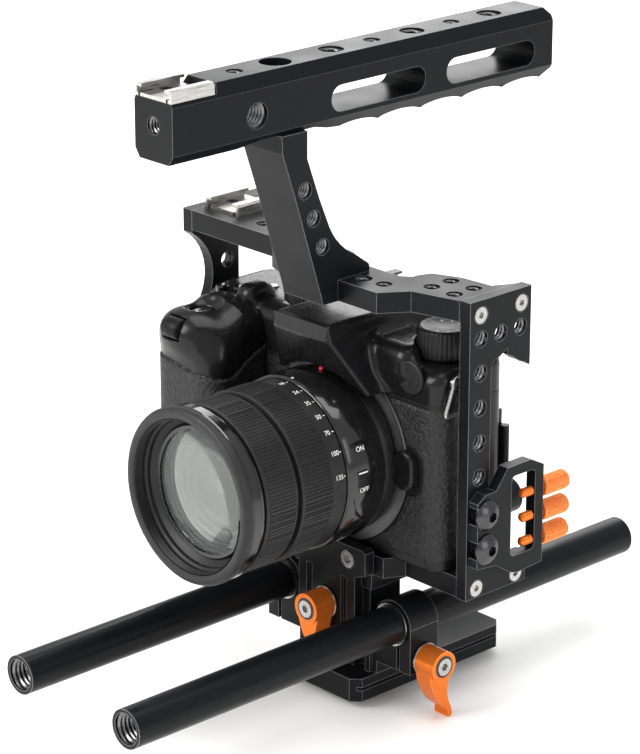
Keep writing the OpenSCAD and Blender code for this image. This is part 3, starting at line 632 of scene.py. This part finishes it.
# ---- screw threads
# half widths of a thread ridge at its root and crest, and its run-outs, in pitches
RIDGE_ROOT, RIDGE_CREST, RUN_OUT = 0.42, 0.07, 0.6
RIDGE_SINK = 0.02       # mm that the root goes into the hole's wall
RIDGE_THINNEST = 0.02   # of the full depth, at the very ends
TAPER = 0.5             # turns over which a ridge grows to its full depth
WIDE_HOLE = 10          # mm radius above which a turn has more steps


def thread(build, mouth, inward, radius, pitch, length, depth):
    """A helical ridge standing inwards from a hole's wall."""
    steps = 96 if radius > WIDE_HOLE else 40
    u, w, d = axes(inward)
    mouth = Vector(mouth)
    turns = (length - 2 * RUN_OUT * pitch) / pitch
    count = int(turns * steps)
    profile = [(0.0, -RIDGE_ROOT), (-depth, -RIDGE_CREST), (-depth, RIDGE_CREST), (0.0, RIDGE_ROOT)]
    verts, faces = [], []
    for i in range(count + 1):
        a = 2 * math.pi * i / steps
        grow = min(1.0, i / (steps * TAPER), (count - i) / (steps * TAPER))
        for dr, dt in profile:
            r = radius + RIDGE_SINK + dr * max(grow, RIDGE_THINNEST)
            t = RUN_OUT * pitch + pitch * (i / steps + dt)
            verts.append(mouth + d * t + (u * math.cos(a) + w * math.sin(a)) * r)
    k = len(profile)
    for i in range(count):
        for j in range(k - 1):
            faces.append([i * k + j, i * k + j + 1, (i + 1) * k + j + 1, (i + 1) * k + j])
    build.add(verts, faces)


# one piece per group of mounts: (body, start of the mounts' names, pitch, ridge depth, length)
THREADS = [
    ("base", "tripod_socket_large", 1.5875, 0.75, 9.5),
    ("base", "tripod_socket", 1.27, 0.6, 9.5),
    ("cage", "side_plate_thread", 1.27, 0.6, 5.0),
    ("cage", "left_plate_thread", 1.27, 0.6, 5.0),
    ("cage", "top_plate_thread", 1.27, 0.6, 8.0),
    ("cage", "bottom_plate_thread", 1.27, 0.6, 8.0),
    ("cage", "handle_top_quarter", 1.27, 0.6, 10.5),
    ("cage", "handle_top_large", 1.5875, 0.75, 10.5),
    ("cage", "handle_side_thread", 1.5875, 0.75, 20.0),
    ("cage", "handle_front_thread", 1.27, 0.6, 12.0),
    ("cage", "post_thread", 1.27, 0.6, 21.0),
    ("front_barrel", "lens_filter_thread", 0.75, 0.35, 4.6),
    ("rod_left", "rod_left_thread", 1.75, 0.8, 16.0),
    ("rod_right", "rod_right_thread", 1.75, 0.8, 16.0),
]


def make_threads():
    """Ridges in the threaded holes; a mount goes to the first group that its name fits."""
    done = set()
    for body, start, pitch, depth, length in THREADS:
        ridge = Build()
        for mount in frame["record"]["mounts"]:
            if not mount["name"].startswith(start) or mount["name"] in done:
                continue
            done.add(mount["name"])
            mouth = Vector(mount["pos_m"]) / MM
            inward = -Vector(mount["axis"])
            thread(ridge, mouth, inward, mount["dims"]["r_mm"], pitch, length, depth)
        mat = SATIN if body == "front_barrel" else THREAD_STEEL
        place(ridge.make(start + "_ridges", mat, sharp=50, merge=False), body, "dark_steel")


make_threads()


# ---- camera body
LENS_Z = middle("lens_barrel").z
BODY_LO = span("camera_front_shell")[0]
BODY_HI = Vector((span("camera_front_shell")[1].x, span("camera_rear_shell")[1].y, 0))
SHELL_TOP, COVER_BOTTOM = 124.6, 124.0   # they overlap a little
LENS_CLEAR = 35.2                        # radius cut from the cover round the lens
DRIVE_DIAL_AT, MODE_DIAL_AT = (37.5, -12.0), (-32.0, -14.5)
SHUTTER_AT = (-62.0, -43.0)


def body_outline(p):
    """Upright column over the camera body's plan, its corners rounded."""
    return s_post(p, BODY_LO.x, BODY_HI.x, BODY_LO.y, BODY_HI.y, 7.0)


def grip_seam(x, y):
    """Height of the seam between the grip's grained cover and its smooth top."""
    return 118.6 - (x + 60.0) * 0.12 + np.maximum(y + 46.0, 0) * 0.55


def shell_field(x, y, z):
    p = (x, y, z)
    f = smax(body_outline(p), BODY_LO.z - z, 1.5)
    f = np.maximum(f, z - SHELL_TOP)
    # the throat of the mount and the well of the folding screen
    f = smax(f, -np.maximum(s_round_y(p, 0, LENS_Z, 25.6), y + 14.0), 0.6)
    screen_lo, screen_hi = (-34.4, 3.4, 63.6), (47.0, 20.0, 114.4)
    f = smax(f, -s_box(p, screen_lo, screen_hi, 1.0), 0.8)
    # recess of the lens release button
    f = smax(f, -s_box(p, (28.9, -40, 87.4), (43.4, -26.9, 105.4), 6.5), 0.8)
    return f


def top_field(x, y, z):
    p = (x, y, z)
    deck = 137.6 + 3.4 / (1 + np.exp((x + 14) / 5.0))
    # the deck rolls over to the front in a broad curve
    f = smax(body_outline(p), z - deck + np.maximum(-(y + 16), 0) ** 2 * 0.018, 4.5)
    # prism hump: flat-topped and tapering upwards
    half = 15.2 + np.maximum(146.0 - z, 0) * 0.42 + np.maximum(z - 146, 0) * (-0.25)
    face = -49.4 + np.maximum(145.2 - z, 0) * 0.55 + np.maximum(z - 150, 0) * 0.5
    hump = smax(np.abs(x) - half, face - y, 1.6)
    hump = smax(hump, y - 13.0 + np.maximum(z - 132, 0) * 0.10, 3.0)
    hump = smax(hump, z - 151.3, 1.8)
    f = smin(f, hump, 5.0)
    # cheek that carries the hump out to the right-hand shoulder
    cheek = s_box(p, (8, -30.5, 128), (37, -6, 143.6), 6.0)
    f = smin(f, cheek, 3.5)
    lock = s_box(p, (-60.5, -29.5, 134), (-49.5, -14.5, 146.0), 5.0)
    f = smin(f, lock, 3.0)
    f = smax(f, -s_round_y(p, 0, LENS_Z, LENS_CLEAR), 0.8)
    f = np.maximum(f, COVER_BOTTOM - z)
    # seats round the dials
    f = np.maximum(f, -np.maximum(s_round_z(p, *DRIVE_DIAL_AT, 11.2), 137.4 - z))
    f = np.maximum(f, -np.maximum(s_round_z(p, *MODE_DIAL_AT, 10.8), 140.6 - z))
    # the shoe sits in a shallow well
    f = np.maximum(f, -s_box(p, (-11.0, -12.0, 150.6), (11.0, 12.0, 160), 0.4))
    return f


def grip_field(x, y, z):
    p = (x, y, z)
    front = -59.0 + np.maximum(z - 126, 0) * 0.55
    column = s_post(p, -77.0, -40.0 - 0.02 * (z - 58.6), -59.0, -20.0, 11.0)
    f = smax(column, front - y, 9.0)
    f = smax(f, BODY_LO.z - z, 1.5)
    # sloping top: falls towards the front, with a flat round the shutter button
    roof = np.minimum(142.6 + (y + 35.0) * 0.48, 142.0) - (x + 60.0) ** 2 * 0.012
    f = smax(f, z - roof, 10.0)
    # the dome swells round the front dial
    across, along, up = (x + 62.0) / 14.5, (y + 48.5) / 11.4, (z - 130.5) / 10.0
    reach = np.sqrt(across ** 2 + along ** 2 + up ** 2)
    f = smin(f, (reach - 1) * 10.5, 5.0)
    f = np.maximum(f, -77.2 - x)
    f = np.maximum(f, y + 28.0)
    # hollow for the fingertips on the lens side
    f = smax(f, -(np.sqrt((x + 33.5) ** 2 + (y + 36.5) ** 2) - 7.5), 3.5)
    # seam and ledge between the grained cover and the smooth top
    seam = grip_seam(x, y)
    f = smax(f, -smax(np.abs(z - seam) - 0.35, -(f + 0.9), 0.2), 0.35)
    f = np.where(z > seam + 0.35, f + 0.45, f)
    # seats of the shutter button and the front dial
    dish = np.sqrt((x - SHUTTER_AT[0]) ** 2 + (y - SHUTTER_AT[1]) ** 2 + (z - 146.0) ** 2) - 9.6
    f = smax(f, -dish, 0.8)
    f = smax(f, -np.maximum(s_round_z(p, *SHUTTER_AT, 5.0), 133.0 - z), 0.4)
    dial = np.maximum(np.sqrt((y + 56.5) ** 2 + (z - 133.5) ** 2) - 4.7, np.abs(x + 62.5) - 4.8)
    f = smax(f, -dial, 0.5)
    return f


def by_region(obj, rule):
    """Gives the second material to the faces that the rule picks, from their centres in mm."""
    me = obj.data
    centres = np.empty(len(me.polygons) * 3)
    me.polygons.foreach_get("center", centres)
    c = centres.reshape(-1, 3) / MM
    me.polygons.foreach_set("material_index", rule(*c.T).astype(np.int32))
    me.update()


def make_body():
    shell = sdf_piece("camera_shell", shell_field,
                      (-80, -30, 57), (52.5, 9, 126.5), 0.9, [SATIN, LEATHER])
    by_region(shell, lambda x, y, z: (y < -27.5) & (x < -30) & (z < 122))
    place(shell, "cage", "camera_plastic", ["camera_front_shell", "camera_rear_shell"])

    top = sdf_piece("camera_top", top_field,
                    (-80, -51, 122.5), (52.5, 15.5, 153), 0.7, [SMOOTH, SATIN])
    place(top, "cage", "camera_plastic", ["camera_top_cover"])

    grip = sdf_piece("hand_grip", grip_field,
                     (-78.5, -61, 57), (-36, -26.5, 143), 0.6, [LEATHER, SMOOTH])
    by_region(grip, lambda x, y, z: z > grip_seam(x, y))
    place(grip, "cage", "grip_rubber", ["camera_grip"])

    # grained panel beside the mount, standing 0.8 mm proud
    def pillar(x, y, z):
        p = (x, y, z)
        f = s_post(p, 0.0, BODY_HI.x + 0.5, BODY_LO.y - 0.8, 40.0, 8.5)
        f = smax(f, np.abs(z - 92.6) - 30.0, 1.6)
        f = smax(f, y + 18.0, 1.2)
        f = np.maximum(f, -(s_post(p, -60, BODY_HI.x - 2.0, BODY_LO.y + 2.0, 40.0, 6.0)))
        f = smax(f, -s_round_y(p, 0, LENS_Z, 36.9), 0.5)
        f = smax(f, -s_box(p, (28.3, -40, 86.8), (44.0, -20, 106.0), 7.0), 0.5)
        round_off = np.maximum(70.0 - z, 0) ** 2 * 0.09
        return smax(f, 24.6 + round_off - x, 0.5)

    panel = sdf_piece("mount_side_panel", pillar, (22, -31, 61), (52.5, -16.5, 124), 0.6, LEATHER)
    place(panel, "cage", "grip_rubber")


def make_mount_plate():
    ring = Build()
    ring.lathe((0, -29.6, LENS_Z), (0, -1, 0),
               [(25.4, -1.0), (25.4, 0.5), (25.9, 0.9), (33.2, 0.9), (34.4, 0.5), (36.4, 0.35),
                (36.6, 0.0), (36.6, -1.2)], 128, closed=True)
    place(ring.make("mount_surround", MOUNT_GREY, 30), "cage", "bright_steel")
    dot = Build()
    dot.lathe((1.6, -40.3, 130.4), (0.0, -0.35, 1),
              [(0.0, 0.25), (0.7, 0.2), (0.9, 0.0), (0.9, -0.6)], 24)
    place(dot.make("mount_index_dot", RED, 40), "cage")


def make_release():
    """Lens release button: a dished disc that slides along y."""
    lo, hi = span("lens_release_button")
    at = middle("lens_release_button")

    def button(x, y, z):
        f = np.hypot(np.abs(x - at.x), np.maximum(np.abs(z - at.z) - 2.6, 0)) - 5.1
        f = smax(f, lo.y + 0.2 - y, 1.4)
        f = np.maximum(f, y - hi.y)
        dish = np.sqrt((x - at.x) ** 2 + (y - lo.y + 11.3) ** 2 + ((z - at.z) * 0.7) ** 2) - 12.1
        return smax(f, -dish, 0.5)

    piece = sdf_piece("release_button", button,
                      (30, lo.y - 1, 87), (43, hi.y + 1, 106), 0.4, SMOOTH)
    place(piece, "lens_release_button", "camera_plastic", ["lens_release_button"])


def spoke(angle):
    """Unit vectors outwards and along the turn, for parts set round an axis along y."""
    return (Vector((math.cos(angle), 0, math.sin(angle))),
            Vector((-math.sin(angle), 0, math.cos(angle))))


def make_sync_cap():
    """Round cap with stepped rings and twelve fine notches."""
    at = middle("sync_socket_cap")
    b = Build()
    rings = [(6.3, 0.0), (6.3, 0.9), (5.9, 1.15), (5.2, 1.15), (5.0, 0.85), (4.3, 0.85),
             (4.1, 1.15), (3.2, 1.15), (3.0, 0.85), (2.2, 0.85), (2.0, 1.15), (0.0, 1.15)]
    b.lathe((at.x, -28.45, at.z), (0, -1, 0), rings, 64)
    for i in range(12):
        out, along = spoke(math.radians(30 * i))
        c = Vector((at.x, -29.55, at.z))
        near, far, half = out * 5.25, out * 5.85, along * 0.16
        b.prism([c + near + half, c + far + half, c + far - half, c + near - half], (0, -0.1, 0))
    place(b.make("sync_cap", RUBBER, 40), "cage", "soft_rubber", ["sync_socket_cap"])


def knurl(count, depth, rings):
    """Sawtooth added to the radius on the listed profile rings."""
    def add(a, k):
        if k not in rings:
            return 0.0
        s = math.sin(a * count)
        return depth * (s if s > -0.3 else -0.3)
    return add


def ribs(count, depth, rings, width=0.5):
    """Fine axial ribs with flat tops; width is the top's share of each rib's pitch."""
    def add(a, k):
        if k not in rings:
            return 0.0
        phase = (a * count / (2 * math.pi)) % 1.0
        return 0.0 if phase < width else -depth
    return add


DIAL_TOP = 149.9
# body, centre, height of its foot, radius, marks
DIALS = [("drive_dial", DRIVE_DIAL_AT, 138.15, 10.1, "0123456789"),
         ("mode_dial", MODE_DIAL_AT, 142.15, 9.7, "12345678")]


def make_dials():
    for body, (x, y), z0, radius, marks in DIALS:
        top = DIAL_TOP - z0
        b = Build()
        prof = [(3.0, -2.5), (3.0, 0.1), (radius - 0.7, 0.1), (radius - 0.2, 0.6), (radius, 1.2),
                (radius, top - 1.6), (radius - 0.2, top - 1.0), (radius - 0.9, top - 0.35),
                (radius - 1.5, top - 0.3), (radius - 2.6, top - 0.9), (0.0, top - 1.0)]
        b.lathe((x, y, z0), (0, 0, 1), prof, 240, knurl(40, 0.32, (4, 5)))
        place(b.make(body + "_cap", SATIN, 42), body, "camera_plastic", [body])
        figures = []
        for i, mark in enumerate(marks):
            a = 2 * math.pi * i / len(marks)
            ring = radius - 3.7
            face = Vector((x + ring * math.cos(a), y + ring * math.sin(a), z0 + top - 0.93))
            figures.append(figure(mark, face, Matrix.Rotation(a + math.pi / 2, 3, "Z")))
        place(join(figures, body + "_numbers", PRINT), body)


def make_front_dial():
    """Ribbed wheel, half sunk in the grip's dome."""
    lo, hi = span("front_dial")
    at = middle("front_dial")
    r = (hi.z - lo.z) / 2
    wide = hi.x - lo.x
    b = Build()
    prof = [(r - 1.2, 0.1), (r - 0.5, 0.4), (r - 0.05, 1.1),
            (r - 0.05, wide - 1.1), (r - 0.5, wide - 0.4), (r - 1.2, wide - 0.1)]
    b.lathe((lo.x, at.y, at.z), (1, 0, 0), prof, 216, ribs(36, 0.35, (2, 3), 0.6))
    place(b.make("front_wheel", SATIN, 35), "front_dial", "camera_plastic", ["front_dial"])


LETTER_HEIGHT, LETTER_RAISE = 1.9, 0.03
SIZE_PER_HEIGHT = 1.35   # font size over the height of its capitals


def figure(text, at, turn):
    """Raised generic lettering, as a mesh. turn carries +Z text onto the surface."""
    c = bpy.data.curves.new("glyph", "FONT")
    c.body = text
    c.size = LETTER_HEIGHT * MM * SIZE_PER_HEIGHT
    c.extrude = LETTER_RAISE * MM
    c.align_x = "CENTER"
    c.align_y = "CENTER"
    o = bpy.data.objects.new("glyph", c)
    scene.collection.objects.link(o)
    bpy.context.view_layer.update()
    me = bpy.data.meshes.new_from_object(o)
    bpy.data.objects.remove(o)
    me.transform(Matrix.Translation(Vector(at) * MM) @ turn.to_4x4())
    out = bpy.data.objects.new("glyph_mesh", me)
    scene.collection.objects.link(out)
    return out


def join(objs, name, mat):
    """One mesh object out of several, which are removed."""
    bm = bmesh.new()
    for o in objs:
        bm.from_mesh(o.data)
        bpy.data.objects.remove(o)
    me = bpy.data.meshes.new(name)
    bm.to_mesh(me)
    bm.free()
    me.materials.append(mat)
    for p in me.polygons:
        p.material_index = 0
    out = bpy.data.objects.new(name, me)
    scene.collection.objects.link(out)
    return out


def make_buttons():
    b = Build()
    for x, y, z in ((-71.5, -24.5, 140.4), (-64.5, -21.5, 140.6), (-57.0, -11.0, 140.6)):
        b.lathe((x, y, z), (0, 0, 1), [(2.5, -2.0), (2.5, 0.5), (2.1, 0.95), (0.0, 1.05)], 40)
    place(b.make("top_buttons", GLOSS, 40), "cage", "gloss_black")

    s = Build()
    at = middle("shutter_button")
    s.lathe((at.x, at.y, 131.0), (0, 0, 1),
            [(4.0, 0.0), (4.0, 2.0), (4.65, 2.2), (4.65, 5.6), (4.2, 6.3), (3.2, 6.55),
             (1.6, 6.3), (0.0, 6.2)], 64)
    place(s.make("shutter_button_cap", GLOSS, 45),
          "shutter_button", "gloss_black", ["shutter_button"])


def make_badge_band():
    """The plain band across the front of the prism hump; its lettering is left out."""
    b = Build()
    pts = [(-13.0, 145.9), (13.2, 145.2), (15.0, 150.4),
           (14.0, 151.0), (-13.6, 151.0), (-14.6, 150.4)]
    b.prism([(x, -49.0, z) for x, z in pts], (0, -0.45, 0))
    place(b.make("badge_band", SATIN, 30, bevel=0.2), "cage", "camera_plastic")


def make_screen():
    b = Build()
    loop = [(-29.7, 67.8), (37.7, 67.8), (37.7, 110.7), (-29.7, 110.7)]
    b.prism([(x, 10.3, z) for x, z in reversed(loop)], (0, 0.15, 0))
    place(b.make("screen_glass_sheet", SCREEN, 30, bevel=0.1), "screen", "screen_glass")


make_body()
make_mount_plate()
make_release()
make_sync_cap()
make_dials()
make_front_dial()
make_buttons()
make_badge_band()
make_screen()


# ---- lens
BARREL_RADIUS = 33.45
RIB_COUNT = 150
# focal length and place round the ring in degrees, generic
ZOOM_SCALE = (("18", 88), ("24", 74), ("35", 62), ("50", 50), ("70", 38), ("100", 24), ("135", 8))


def tube(profile, segs=160, wobble=None):
    """Closed turned part round the lens axis from (radius, y) points."""
    return Build().lathe((0, 0, LENS_Z), (0, 1, 0), profile, segs, wobble, closed=True)


def make_barrel():
    # glossy barrel behind the zoom ring, with the flared skirt at the mount
    b = tube([(27.7, -93.8), (31.0, -93.8), (31.0, -55.9), (32.6, -55.9), (33.1, -55.5),
              (BARREL_RADIUS, -54.9), (BARREL_RADIUS, -38.2), (33.2, -37.4), (32.7, -36.9),
              (32.0, -36.7), (29.0, -36.7), (25.3, -36.7), (25.3, -31.4), (18.5, -31.4),
              (18.5, -25.6), (15.2, -25.6), (15.2, -38.2), (27.7, -40.0)], 192)
    place(b.make("lens_body", GLOSS, 32), "cage", "gloss_black", ["lens_barrel"])
    skirt = tube([(29.0, -36.6), (31.4, -36.6), (31.6, -36.3), (32.3, -32.0), (32.0, -31.1),
                  (29.0, -31.1)])
    place(skirt.make("lens_skirt", SATIN, 32), "cage", "gloss_black")


def make_lens_rings():
    """Ribbed rubber on both rings; the zoom ring has a number band behind its ribs."""
    ribbed = ribs(RIB_COUNT, 0.5, (4, 5))
    zoom = tube([(31.1, -77.9), (32.3, -77.9), (32.6, -77.5), (32.6, -76.9), (32.85, -76.7),
                 (32.85, -63.4), (32.6, -63.2), (32.6, -62.6), (32.4, -62.4), (32.4, -56.5),
                 (32.1, -56.1), (31.1, -56.1)], RIB_COUNT * 4, ribbed)
    focus = tube([(31.1, -94.9), (31.9, -94.9), (32.2, -94.5), (32.2, -93.6), (32.55, -93.4),
                  (32.55, -81.2), (32.3, -81.0), (32.3, -80.5), (32.0, -80.1), (31.1, -80.1)],
                 RIB_COUNT * 4, ribbed)
    for name, ring in (("zoom", zoom), ("focus", focus)):
        place(ring.make(name + "_grip", RUBBER, 32, merge=False),
              name + "_ring", "soft_rubber", [name + "_ring"])


def make_front_group():
    # outer hood, stepped baffle and the tube that slides inside the barrel
    g = tube([(27.2, -40.1), (27.2, -95.3), (31.2, -95.3), (31.6, -95.5), (31.9, -96.2),
              (31.9, -97.3), (32.8, -97.7), (33.3, -98.3), (33.3, -101.6), (32.95, -101.9),
              (32.95, -102.3), (33.45, -102.6), (33.45, -104.3), (33.1, -105.1), (32.4, -105.7),
              (31.5, -105.85), (30.2, -105.85), (29.35, -105.4), (29.02, -104.8),
              (29.02, -100.6), (28.3, -100.3), (28.0, -99.9), (27.9, -98.6), (26.2, -97.4),
              (25.2, -96.6), (23.9, -94.9), (23.9, -90.5), (26.0, -90.5), (26.0, -40.1)], 192)
    obj = g.make("front_group", [GLOSS, RUBBER], 32)
    # rubber on the hood's front edge and on the baffle inside it
    by_region(obj, lambda x, y, z: (y < -102.2) | ((y < -94) & (np.hypot(x, z - LENS_Z) < 29.2)))
    place(obj, "front_barrel", "gloss_black", ["front_barrel"])
    bezel = tube([(23.6, -97.7), (24.8, -97.9), (25.3, -97.4), (25.0, -96.6), (23.6, -96.4)])
    place(bezel.make("glass_bezel", DARK_STEEL, 32), "front_barrel", "dark_steel")


def make_elements():
    # front element: a flattened cap of a sphere, then its flat back
    dome = Build()
    rim, sweep, flatten = 23.8, math.radians(40), 0.38
    cap = [(rim * math.sin(t) / math.sin(sweep),
            -96.6 - rim / math.tan(sweep) * (math.cos(t) / math.cos(sweep) - 1) * flatten)
           for t in (math.radians(d) for d in np.linspace(0.01, 40, 20))]
    back = [(rim, -94.0), (0.0, -92.6)]
    dome.lathe((0, 0, LENS_Z), (0, 1, 0), cap + back, 128)
    place(dome.make("front_element", GLASS, 50), "front_barrel", "lens_glass", ["front_glass"])
    # what shows through it: blackened steps and a second coated element
    steps = [(24.2, -92.2)]
    for i in range(7):
        r, y = 23.6 - 1.15 * i, -91.6 + 1.5 * i
        steps += [(r, y), (r - 0.25, y + 1.1)]
    well = tube(steps + [(15.0, -79.0), (25.4, -79.0), (25.4, -92.2)], 128)
    place(well.make("light_baffle", RUBBER, 30), "front_barrel", "camera_plastic")
    inner = Build()
    rim = 15.5
    cup = [(rim * math.sin(t) / math.sin(math.radians(50)),
            -80.0 - 6.5 * (math.cos(t) - 0.64) / 0.36)
           for t in (math.radians(d) for d in np.linspace(0.01, 50, 16))]
    inner.lathe((0, 0, LENS_Z), (0, 1, 0), cup + [(rim, -78.0), (0.0, -78.0)], 96)
    place(inner.make("second_element", COATED, 50), "front_barrel", "lens_glass")


def make_switch():
    """Raised panel, slider and words of the stabiliser switch."""
    panel = Build()
    outline = [(-53.4, 111.0), (-53.4, 90.0), (-51.0, 83.5), (-46.0, 79.5), (-43.8, 79.3),
               (-43.8, 108.0), (-46.5, 111.8)]
    pts = []
    for y, z in outline:
        dz = z - LENS_Z
        pts.append(Vector((math.sqrt(BARREL_RADIUS ** 2 - dz * dz) - 0.3, y, z)))
    panel.prism(pts, (0.75, 0, 0))
    place(panel.make("switch_panel", GLOSS, 30, bevel=0.5), "cage", "gloss_black")
    lo, hi = span("stabiliser_switch")
    s = Build()
    for k in range(7):
        x, y0, y1, z0 = lo.x + 1.2, lo.y + 0.4, hi.y - 0.4, lo.z + 0.35 + k * 0.95
        s.prism([(x, y0, z0), (x, y1, z0), (x, y1, z0 + 0.55), (x, y0, z0 + 0.55)],
                (hi.x - lo.x - 1.25, 0, 0))
    s.prism([(lo.x, lo.y, lo.z), (lo.x, hi.y, lo.z), (lo.x, hi.y, hi.z), (lo.x, lo.y, hi.z)],
            (1.5, 0, 0))
    place(s.make("stabiliser_slider", GLOSS, 30, bevel=0.12),
          "stabiliser_switch", "gloss_black", ["stabiliser_switch"])
    line = Build()
    x, y0, y1, z0, z1 = hi.x - 0.15, lo.y + 0.6, hi.y - 0.6, hi.z - 1.3, hi.z - 0.75
    line.prism([(x, y0, z0), (x, y1, z0), (x, y1, z1), (x, y0, z1)], (0.14, 0, 0))
    place(line.make("slider_line", PRINT, 30), "stabiliser_switch")
    words = [on_lens("ON", 34.15, -49.0, 12.5 / 33.4 + 0.01),
             on_lens("OFF", 34.15, -49.0, -2.4 / 33.4)]
    place(join(words, "switch_words", PRINT), "cage")


def make_zoom_scale():
    marks = [on_lens(text, 32.43, -59.6, math.radians(deg)) for text, deg in ZOOM_SCALE]
    place(join(marks, "zoom_numbers", PRINT), "zoom_ring")
    index = Build()
    for _, deg in ZOOM_SCALE:
        out, along = spoke(math.radians(deg))
        c = Vector((0, -57.5, LENS_Z)) + out * 32.4
        half, length = along * 0.14, Vector((0, 0.9, 0))
        index.prism([c - half, c + half, c + half + length, c - half + length], out * 0.05)
    place(index.make("zoom_index_lines", PRINT, 30), "zoom_ring")
    dot = Build()
    out = spoke(math.radians(88))[0]
    c = Vector((0, -54.2, LENS_Z)) + out * 33.4
    dot.lathe(c, out, [(0.0, 0.14), (0.55, 0.12), (0.6, 0.0)], 24)
    place(dot.make("zoom_index_dot", PRINT, 40), "cage")


def on_lens(text, radius, y, angle):
    """Flat lettering laid on the barrel; it runs from the front towards the mount."""
    out, up = spoke(angle)
    turn = Matrix((Vector((0, 1, 0)), up, out)).transposed()
    return figure(text, Vector((0, y, LENS_Z)) + out * radius, turn)


# ---- small hardware
HEAD_FROM, HEAD_TO = 12.35, 25.6   # y of a thumbscrew's head
TEETH, KNURL_ROWS, FIRST_ROW = 60, 25, 3
SCREW_PITCH = 0.8


def diamonds(a, k):
    """Crossed helical grooves over the rows of a thumbscrew's head."""
    if not FIRST_ROW <= k < FIRST_ROW + KNURL_ROWS:
        return 0.0
    twist = (k - FIRST_ROW) * math.pi / 2
    return 0.26 * min(math.sin(a * TEETH / 2 + twist), math.sin(a * TEETH / 2 - twist))


def make_thumbscrews():
    """Knurled clamp screws: domed end, diamond knurl, ringed shank with a round tip."""
    length = HEAD_TO - HEAD_FROM
    for number in (1, 2, 3):
        body = "cable_screw_%d" % number
        tip = span(body)[0].y
        at = middle(body)
        prof = [(2.0, 0.0), (3.0, 0.15), (3.45, 0.6)]
        prof += [(3.6, 1.3 + (length - 2.7) * i / (KNURL_ROWS - 1)) for i in range(KNURL_ROWS)]
        prof += [(3.45, length - 0.75), (3.0, length - 0.25), (2.3, length), (1.6, length - 0.1),
                 (1.3, length - 0.7), (0.0, length - 0.8)]
        b = Build()
        b.lathe((at.x, HEAD_FROM, at.z), (0, 1, 0), prof, TEETH * 3, diamonds)
        place(b.make(body + "_head", ORANGE, 28), body, "anodised_orange", [body])

        shank = HEAD_FROM - tip
        rows = int((shank - 1.4) / SCREW_PITCH * 4)
        prof = [(0.0, 0.0), (0.9, 0.1), (1.35, 0.5)]
        prof += [(1.62 + (0.22 if j % 4 in (1, 2) else -0.12), 0.9 + (shank - 1.2) * j / rows)
                 for j in range(rows)]
        prof += [(1.7, shank), (0.0, shank + 0.2)]
        s = Build()
        s.lathe((at.x, tip, at.z), (0, 1, 0), prof, 32)
        place(s.make(body + "_shank", ORANGE, 60), body, "anodised_orange")


def make_washers():
    """A washer at the near end of each lever's hub and a dark ring at its far end."""
    for lever, direction in (("rod_lever", (1, 0, 0)), ("riser_lever", (0, -1, 0))):
        c = middle(lever + "_screw")
        lo, hi = span(lever)
        d = Vector(direction)
        if direction[0]:
            start, end = Vector((lo.x, c.y, c.z)), Vector((hi.x, c.y, c.z))
        else:
            start, end = Vector((c.x, hi.y, c.z)), Vector((c.x, lo.y, c.z))
        w = Build()
        w.lathe(start + d * 0.02, d, [(4.4, 0.0), (6.25, 0.0), (6.35, 0.15), (6.35, 0.75),
                                      (6.2, 0.9), (4.4, 0.9)], 64, closed=True)
        place(w.make(lever + "_washer", STEEL, 30), lever, "bright_steel")
        r = Build()
        r.lathe(end - d * 0.35, d, [(3.65, 0.0), (4.35, 0.0), (4.35, 0.45), (4.2, 0.6),
                                    (3.8, 0.6), (3.65, 0.45)], 64, closed=True)
        place(r.make(lever + "_end_ring", DARK_STEEL, 30), lever, "dark_steel")


def make_rod_rims():
    """Bright rims on both ends of each rod."""
    for body, x in (("rod_left", -30), ("rod_right", 30)):
        lo, hi = span(body)
        b = Build()
        z = middle(body).z
        for y, d in ((lo.y, 1), (hi.y, -1)):
            b.lathe((x, y, z), (0, d, 0),
                    [(6.05, 0.05), (6.9, 0.02), (7.1, 0.25), (6.1, 0.25)], 96, closed=True)
        place(b.make(body + "_rims", STEEL, 30), body, "bright_steel")


def arc(cy, cz, r, degrees):
    return [(cy + r * math.cos(math.radians(a)), cz + r * math.sin(math.radians(a)))
            for a in degrees]


def make_strap_ring():
    """Wire loop hanging from the strap lug."""
    lo, hi = span("strap_ring")
    x, wire_radius = (lo.x + hi.x) / 2, 0.68
    # a wide bend at the top and a tight one at each lower corner
    path = arc(-20.5, 132.7, 3.1, range(-10, 191, 20))
    for cy, a0 in ((-26.4, 150), (-14.6, 270)):
        path += arc(cy, 122.3, 0.9, range(a0, a0 + 121, 30))
    verts, faces, n = [], [], 14
    for i, (y, z) in enumerate(path):
        ny, nz = path[(i + 1) % len(path)]
        py, pz = path[i - 1]
        t = Vector((0, ny - py, nz - pz)).normalized()
        side = Vector((1, 0, 0))
        up = t.cross(side)
        for k in range(n):
            a = 2 * math.pi * k / n
            verts.append(Vector((x, y, z))
                         + (side * math.cos(a) + up * math.sin(a)) * wire_radius)
    for i in range(len(path)):
        j = (i + 1) % len(path)
        faces += [[i * n + k, i * n + (k + 1) % n, j * n + (k + 1) % n, j * n + k]
                  for k in range(n)]
    wire_loop = Build().add(verts, faces)
    place(wire_loop.make("strap_wire", STEEL, 60), "strap_ring", "bright_steel", ["strap_ring"])


def make_clamp_rims():
    """Bright chamfers where the rods enter the clamp block."""
    front = span("rod_clamp_block")[0].y
    b = Build()
    for body in ("rod_left", "rod_right"):
        at = middle(body)
        b.lathe((at.x, front + 0.3, at.z), (0, -1, 0),
                [(7.62, 0.0), (7.62, 0.25), (8.1, 0.4), (8.35, 0.4), (8.35, 0.0)], 96, closed=True)
    place(b.make("clamp_rims", STEEL, 40), "base", "bright_steel")


make_strap_ring()
make_barrel()
make_lens_rings()
make_front_group()
make_elements()
make_switch()
make_zoom_scale()
make_thumbscrews()
make_washers()
make_rod_rims()
make_clamp_rims()
